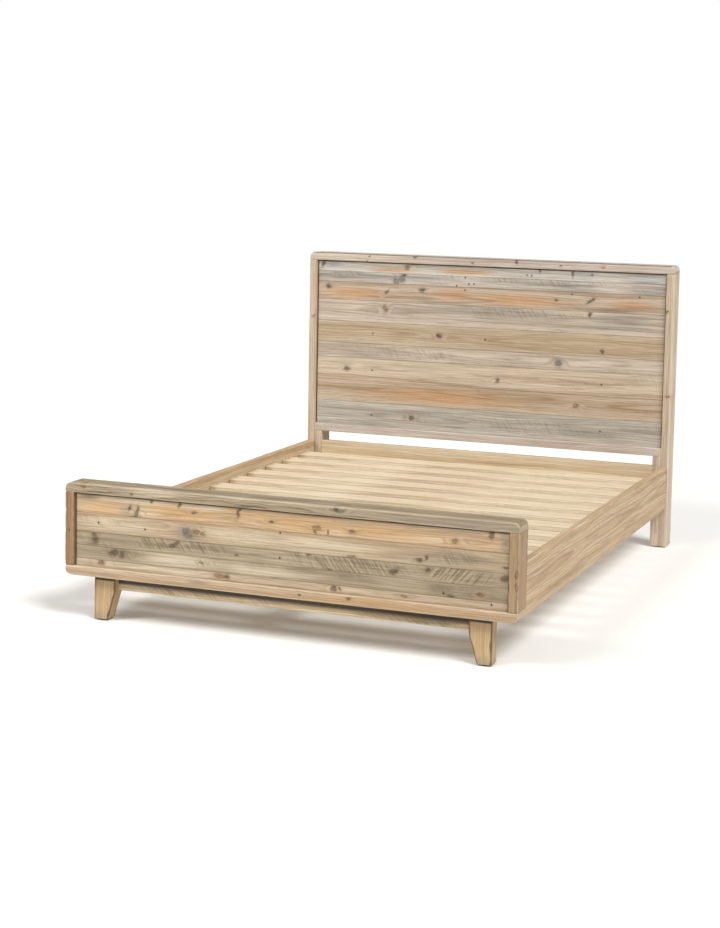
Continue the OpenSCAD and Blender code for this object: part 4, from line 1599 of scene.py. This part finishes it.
@dataclass(frozen=True)
class Fastener:
    """A screw or bolt turned from a profile, with its drive recess. It points down -Z from its head."""

    drive: Drive
    profile: tuple[tuple[float, float], ...]
    recess: float
    depth: float
    sides: int = 12

    def outline(self, size: float) -> list[tuple[float, float]]:
        """The recess's outline as twelve points.

        Args:
            size: half its width.

        Returns:
            Points in order round the axis.
        """
        if self.drive is Drive.CROSS:
            arm = 0.30 * size
            quarter = [(size, -arm), (size, arm), (arm, arm)]
            return [(x * math.cos(t) - y * math.sin(t), x * math.sin(t) + y * math.cos(t))
                    for t in (0, math.pi / 2, math.pi, 1.5 * math.pi) for x, y in quarter]
        corners = [(size * math.cos(math.pi / 3 * k), size * math.sin(math.pi / 3 * k)) for k in range(6)]
        halves = [tuple((a + b) / 2 for a, b in zip(corners[k], corners[(k + 1) % 6])) for k in range(6)]
        return [point for pair in zip(corners, halves) for point in pair]

    def mesh(self, name: str) -> bpy.types.Mesh:
        """Builds the fastener as one closed mesh."""
        bm = bmesh.new()
        shift = -15 if self.drive is Drive.CROSS else 0
        top = self.profile[0][1]
        recess = [[(x, y, z) for x, y in self.outline(self.recess * share)]
                  for share, z in ((0.75, top - self.depth), (1.0, top))]
        rings = [[around((0.0, 0.0), r, math.radians(30 * k + shift), z) for k in range(self.sides)]
                 for r, z in self.profile]
        skin(bm, [[bm.verts.new(point) for point in ring] for ring in (*recess, *rings)])
        return kept_mesh(bm, name)


@dataclass
class Hardware:
    """Screws, bolts, brackets, hangers, threaded inserts and floor glides."""

    zinc: Zinc = Zinc()
    plastic: MouldedPlastic = MouldedPlastic()
    screw: Fastener = Fastener(
        Drive.CROSS, ((4.0 * MM, 0.0), (3.9 * MM, -0.4 * MM), (2.0 * MM, -2.6 * MM), (1.9 * MM, -28 * MM),
                      (0.5 * MM, -35 * MM)), 2.3 * MM, 1.6 * MM)
    bolt: Fastener = Fastener(
        Drive.HEX, ((4.6 * MM, 0.0), (6.3 * MM, -1.4 * MM), (7.0 * MM, -3.0 * MM), (7.0 * MM, -4.4 * MM),
                    (3.9 * MM, -4.4 * MM), (3.9 * MM, -28.6 * MM), (3.2 * MM, -29.4 * MM)), 2.9 * MM,
        2.6 * MM)

    def build(self) -> None:
        """Builds and dresses all the metal and plastic that holds the timber together."""
        self.drive_in("wood_screws", self.screw, 3)
        self.drive_in("bracket_bolts", self.bolt, 7)
        for node in ("beam_hangers", "rail_brackets", "leveller_nuts"):
            mesh = eased_copy(node, 0.5 * MM)
            publish(node + "_plated", mesh, self.zinc.material(node + "_zinc"), [node])
        glides = eased_copy("floor_glides", 0.8 * MM)
        publish("floor_glides_moulded", glides, self.plastic.material("glide_plastic"),
                ["floor_glides"])

    def drive_in(self, node: str, fastener: Fastener, seed: int) -> None:
        """Puts a fastener at every solid of a CAD node with a Geometry Nodes tree.

        Args:
            node: the CAD node of identical fasteners.
            fastener: what they look like.
            seed: gives each drive recess its own turn.
        """
        places, aims = [], []
        for solid in solids(node):
            size = solid.high - solid.low
            along = max(range(3), key=lambda i: size[i])
            others = [i for i in range(3) if i != along]
            middle = (solid.low + solid.high) / 2
            reach = np.hypot(*(solid.points[:, i] - middle[i] for i in others))
            wide = solid.points[reach > 0.93 * reach.max()][:, along].mean()
            up = wide > middle[along]
            place, aim = middle.copy(), Vector((0, 0, 0))
            place[along] = solid.high[along] if up else solid.low[along]
            aim[along] = 1.0 if up else -1.0
            places.append(place)
            aims.append(aim)
        pattern = add_object(node + "_pattern", fastener.mesh(node + "_pattern"))
        tree = GeometryTree(node + "_run")
        item = tree.ask("Fastener", "Object", pattern)
        size = tree.ask("Size", "Float", 1.0)
        start = tree.ask("Seed", "Int", seed)
        aim = tree.node("GeometryNodeInputNamedAttribute", {"data_type": "FLOAT_VECTOR"}, {"Name": "aim"})
        facing = tree.node("FunctionNodeAlignRotationToVector", {"axis": "Z"},
                           {"Vector": aim.outputs[0]}).outputs[0]
        turn = tree.node("FunctionNodeAxisAngleToRotation", None,
                         {"Axis": (0, 0, 1), "Angle": tree.chance(0.0, math.pi, start)}).outputs[0]
        rotation = tree.node("FunctionNodeRotateRotation", {"rotation_space": "LOCAL"},
                             {"Rotation": facing, "Rotate By": turn}).outputs[0]
        scale = tree.node("ShaderNodeCombineXYZ", None, {0: size, 1: size, 2: size}).outputs[0]
        copies = tree.copies(tree.entry.outputs[0], item, Rotation=rotation, Scale=scale)
        material = self.zinc.material(node + "_zinc")
        mesh = tree.run(copies, material, points_mesh(places, aims), node + "_driven")
        bpy.data.objects.remove(pattern)
        publish(node + "_driven", mesh, material, [node])


@dataclass(frozen=True)
class Lamp:
    """One light that aims at a target; size is degrees for a sun and metres for an area."""

    name: str
    kind: str
    place: tuple[float, float, float]
    target: tuple[float, float, float]
    size: float
    power: float

    def build(self) -> None:
        """Adds the light to the scene."""
        lamp = bpy.data.lights.new(self.name, self.kind)
        lamp.energy = self.power
        if self.kind == "SUN":
            lamp.angle = math.radians(self.size)
        else:
            lamp.shape, lamp.size = "SQUARE", self.size
        item = add_object(self.name, lamp)
        item.location = self.place
        item.rotation_euler = (Vector(self.target) - Vector(self.place)).to_track_quat("-Z", "Y").to_euler()


@dataclass
class Studio:
    """Plain pale floor, soft light and the camera."""

    place: tuple[float, float, float] = (2.5313, -6.8876, 1.6646)
    turn: float = 21.43
    tilt: float = 6.16
    roll: float = 1.05
    lens: float = 74.98
    shift: float = -0.12
    floor_radius: float = 9.0
    clear_floor: float = 3.5
    floor_colour: str = "#F3F2EF"
    floor_cloud: str = "#ECEAE7"
    sky: float = 0.42
    lamps: tuple[Lamp, ...] = (
        Lamp("key_sun", "SUN", (-3.4, -5.6, 6.6), (0.0, 0.0, 0.0), 14.0, 0.60),
        Lamp("key_box", "AREA", (-3.4, -4.6, 4.2), (0.0, 0.0, 0.5), 1.8, 130.0),
        Lamp("fill_sun", "SUN", (5.0, -3.0, 6.5), (0.0, 0.0, 0.0), 24.0, 2.7))

    def build(self) -> None:
        """Sets up the floor, lights and camera."""
        self.floor()
        self.light()
        self.camera()
        bpy.context.scene.view_settings.view_transform = "Standard"

    def floor(self) -> None:
        """Adds the floor under the glides, which fades into the white surroundings."""
        half = self.floor_radius
        mesh = bpy.data.meshes.new("floor")
        corners = [(-half, -half, 0), (half, -half, 0), (half, half, 0), (-half, half, 0)]
        mesh.from_pydata(corners, [], [(0, 1, 2, 3)])
        s = Shader("floor_paint")
        at = s.node("ShaderNodeTexCoord").outputs["Object"]
        cloud = s.grain(at, (3, 3, 3), 3.0)
        colour = s.mix(cloud * 0.3, tint(self.floor_colour), tint(self.floor_cloud))
        s.set(Base_Color=colour, Roughness=0.9, Specular_IOR_Level=0.1,
              Alpha=s.length(at).ramp(0.97 * self.floor_radius, self.clear_floor))
        mesh.materials.append(s.material)
        floor = add_object("floor", mesh)

    def light(self) -> None:
        """Adds the white surroundings, a wide key light from the left and a fill from the right."""
        world = bpy.data.worlds.new("studio")
        world.use_nodes = True
        nodes = Nodes(world.node_tree)
        path = nodes.node("ShaderNodeLightPath")
        level = nodes.node("ShaderNodeMapRange", None, {"Value": path.outputs["Is Camera Ray"],
                                                        "To Min": self.sky, "To Max": 1.0})
        back = world.node_tree.nodes["Background"]
        nodes.feed(back.inputs["Color"], (1.0, 1.0, 1.0, 1.0))
        nodes.feed(back.inputs["Strength"], level.outputs["Result"])
        bpy.context.scene.world = world
        for lamp in self.lamps:
            lamp.build()

    def camera(self) -> None:
        """Adds the camera and makes it the scene's."""
        lens = bpy.data.cameras.new("camera")
        lens.lens, lens.sensor_width, lens.shift_y = self.lens, 36.0, self.shift
        lens.clip_end = 200.0
        item = add_object("camera", lens)
        item.location = self.place
        yaw, pitch = math.radians(self.turn), math.radians(self.tilt)
        ahead = Vector((-math.sin(yaw) * math.cos(pitch), math.cos(yaw) * math.cos(pitch),
                        -math.sin(pitch)))
        item.rotation_mode = "QUATERNION"
        item.rotation_quaternion = (ahead.to_track_quat("-Z", "Y")
                                    @ Quaternion((0.0, 0.0, 1.0), math.radians(self.roll)))
        bpy.context.scene.camera = item


def main() -> None:
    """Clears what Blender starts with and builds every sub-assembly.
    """
    logging.basicConfig(level=logging.INFO, format="%(message)s")
    kept = {o.name for o in (*frame["nodes"].values(), *frame["bodies"].values())}
    for item in [o for o in bpy.data.objects if o.name not in kept]:
        bpy.data.objects.remove(item)
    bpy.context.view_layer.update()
    Studio().build()
    for part in (Headboard(), Footboard(), SideRails(), SlatDeck(), CentreSupport(), Hardware()):
        log.info("-- %s", type(part).__name__)
        part.build()


if __name__ == "__main__":
    main()
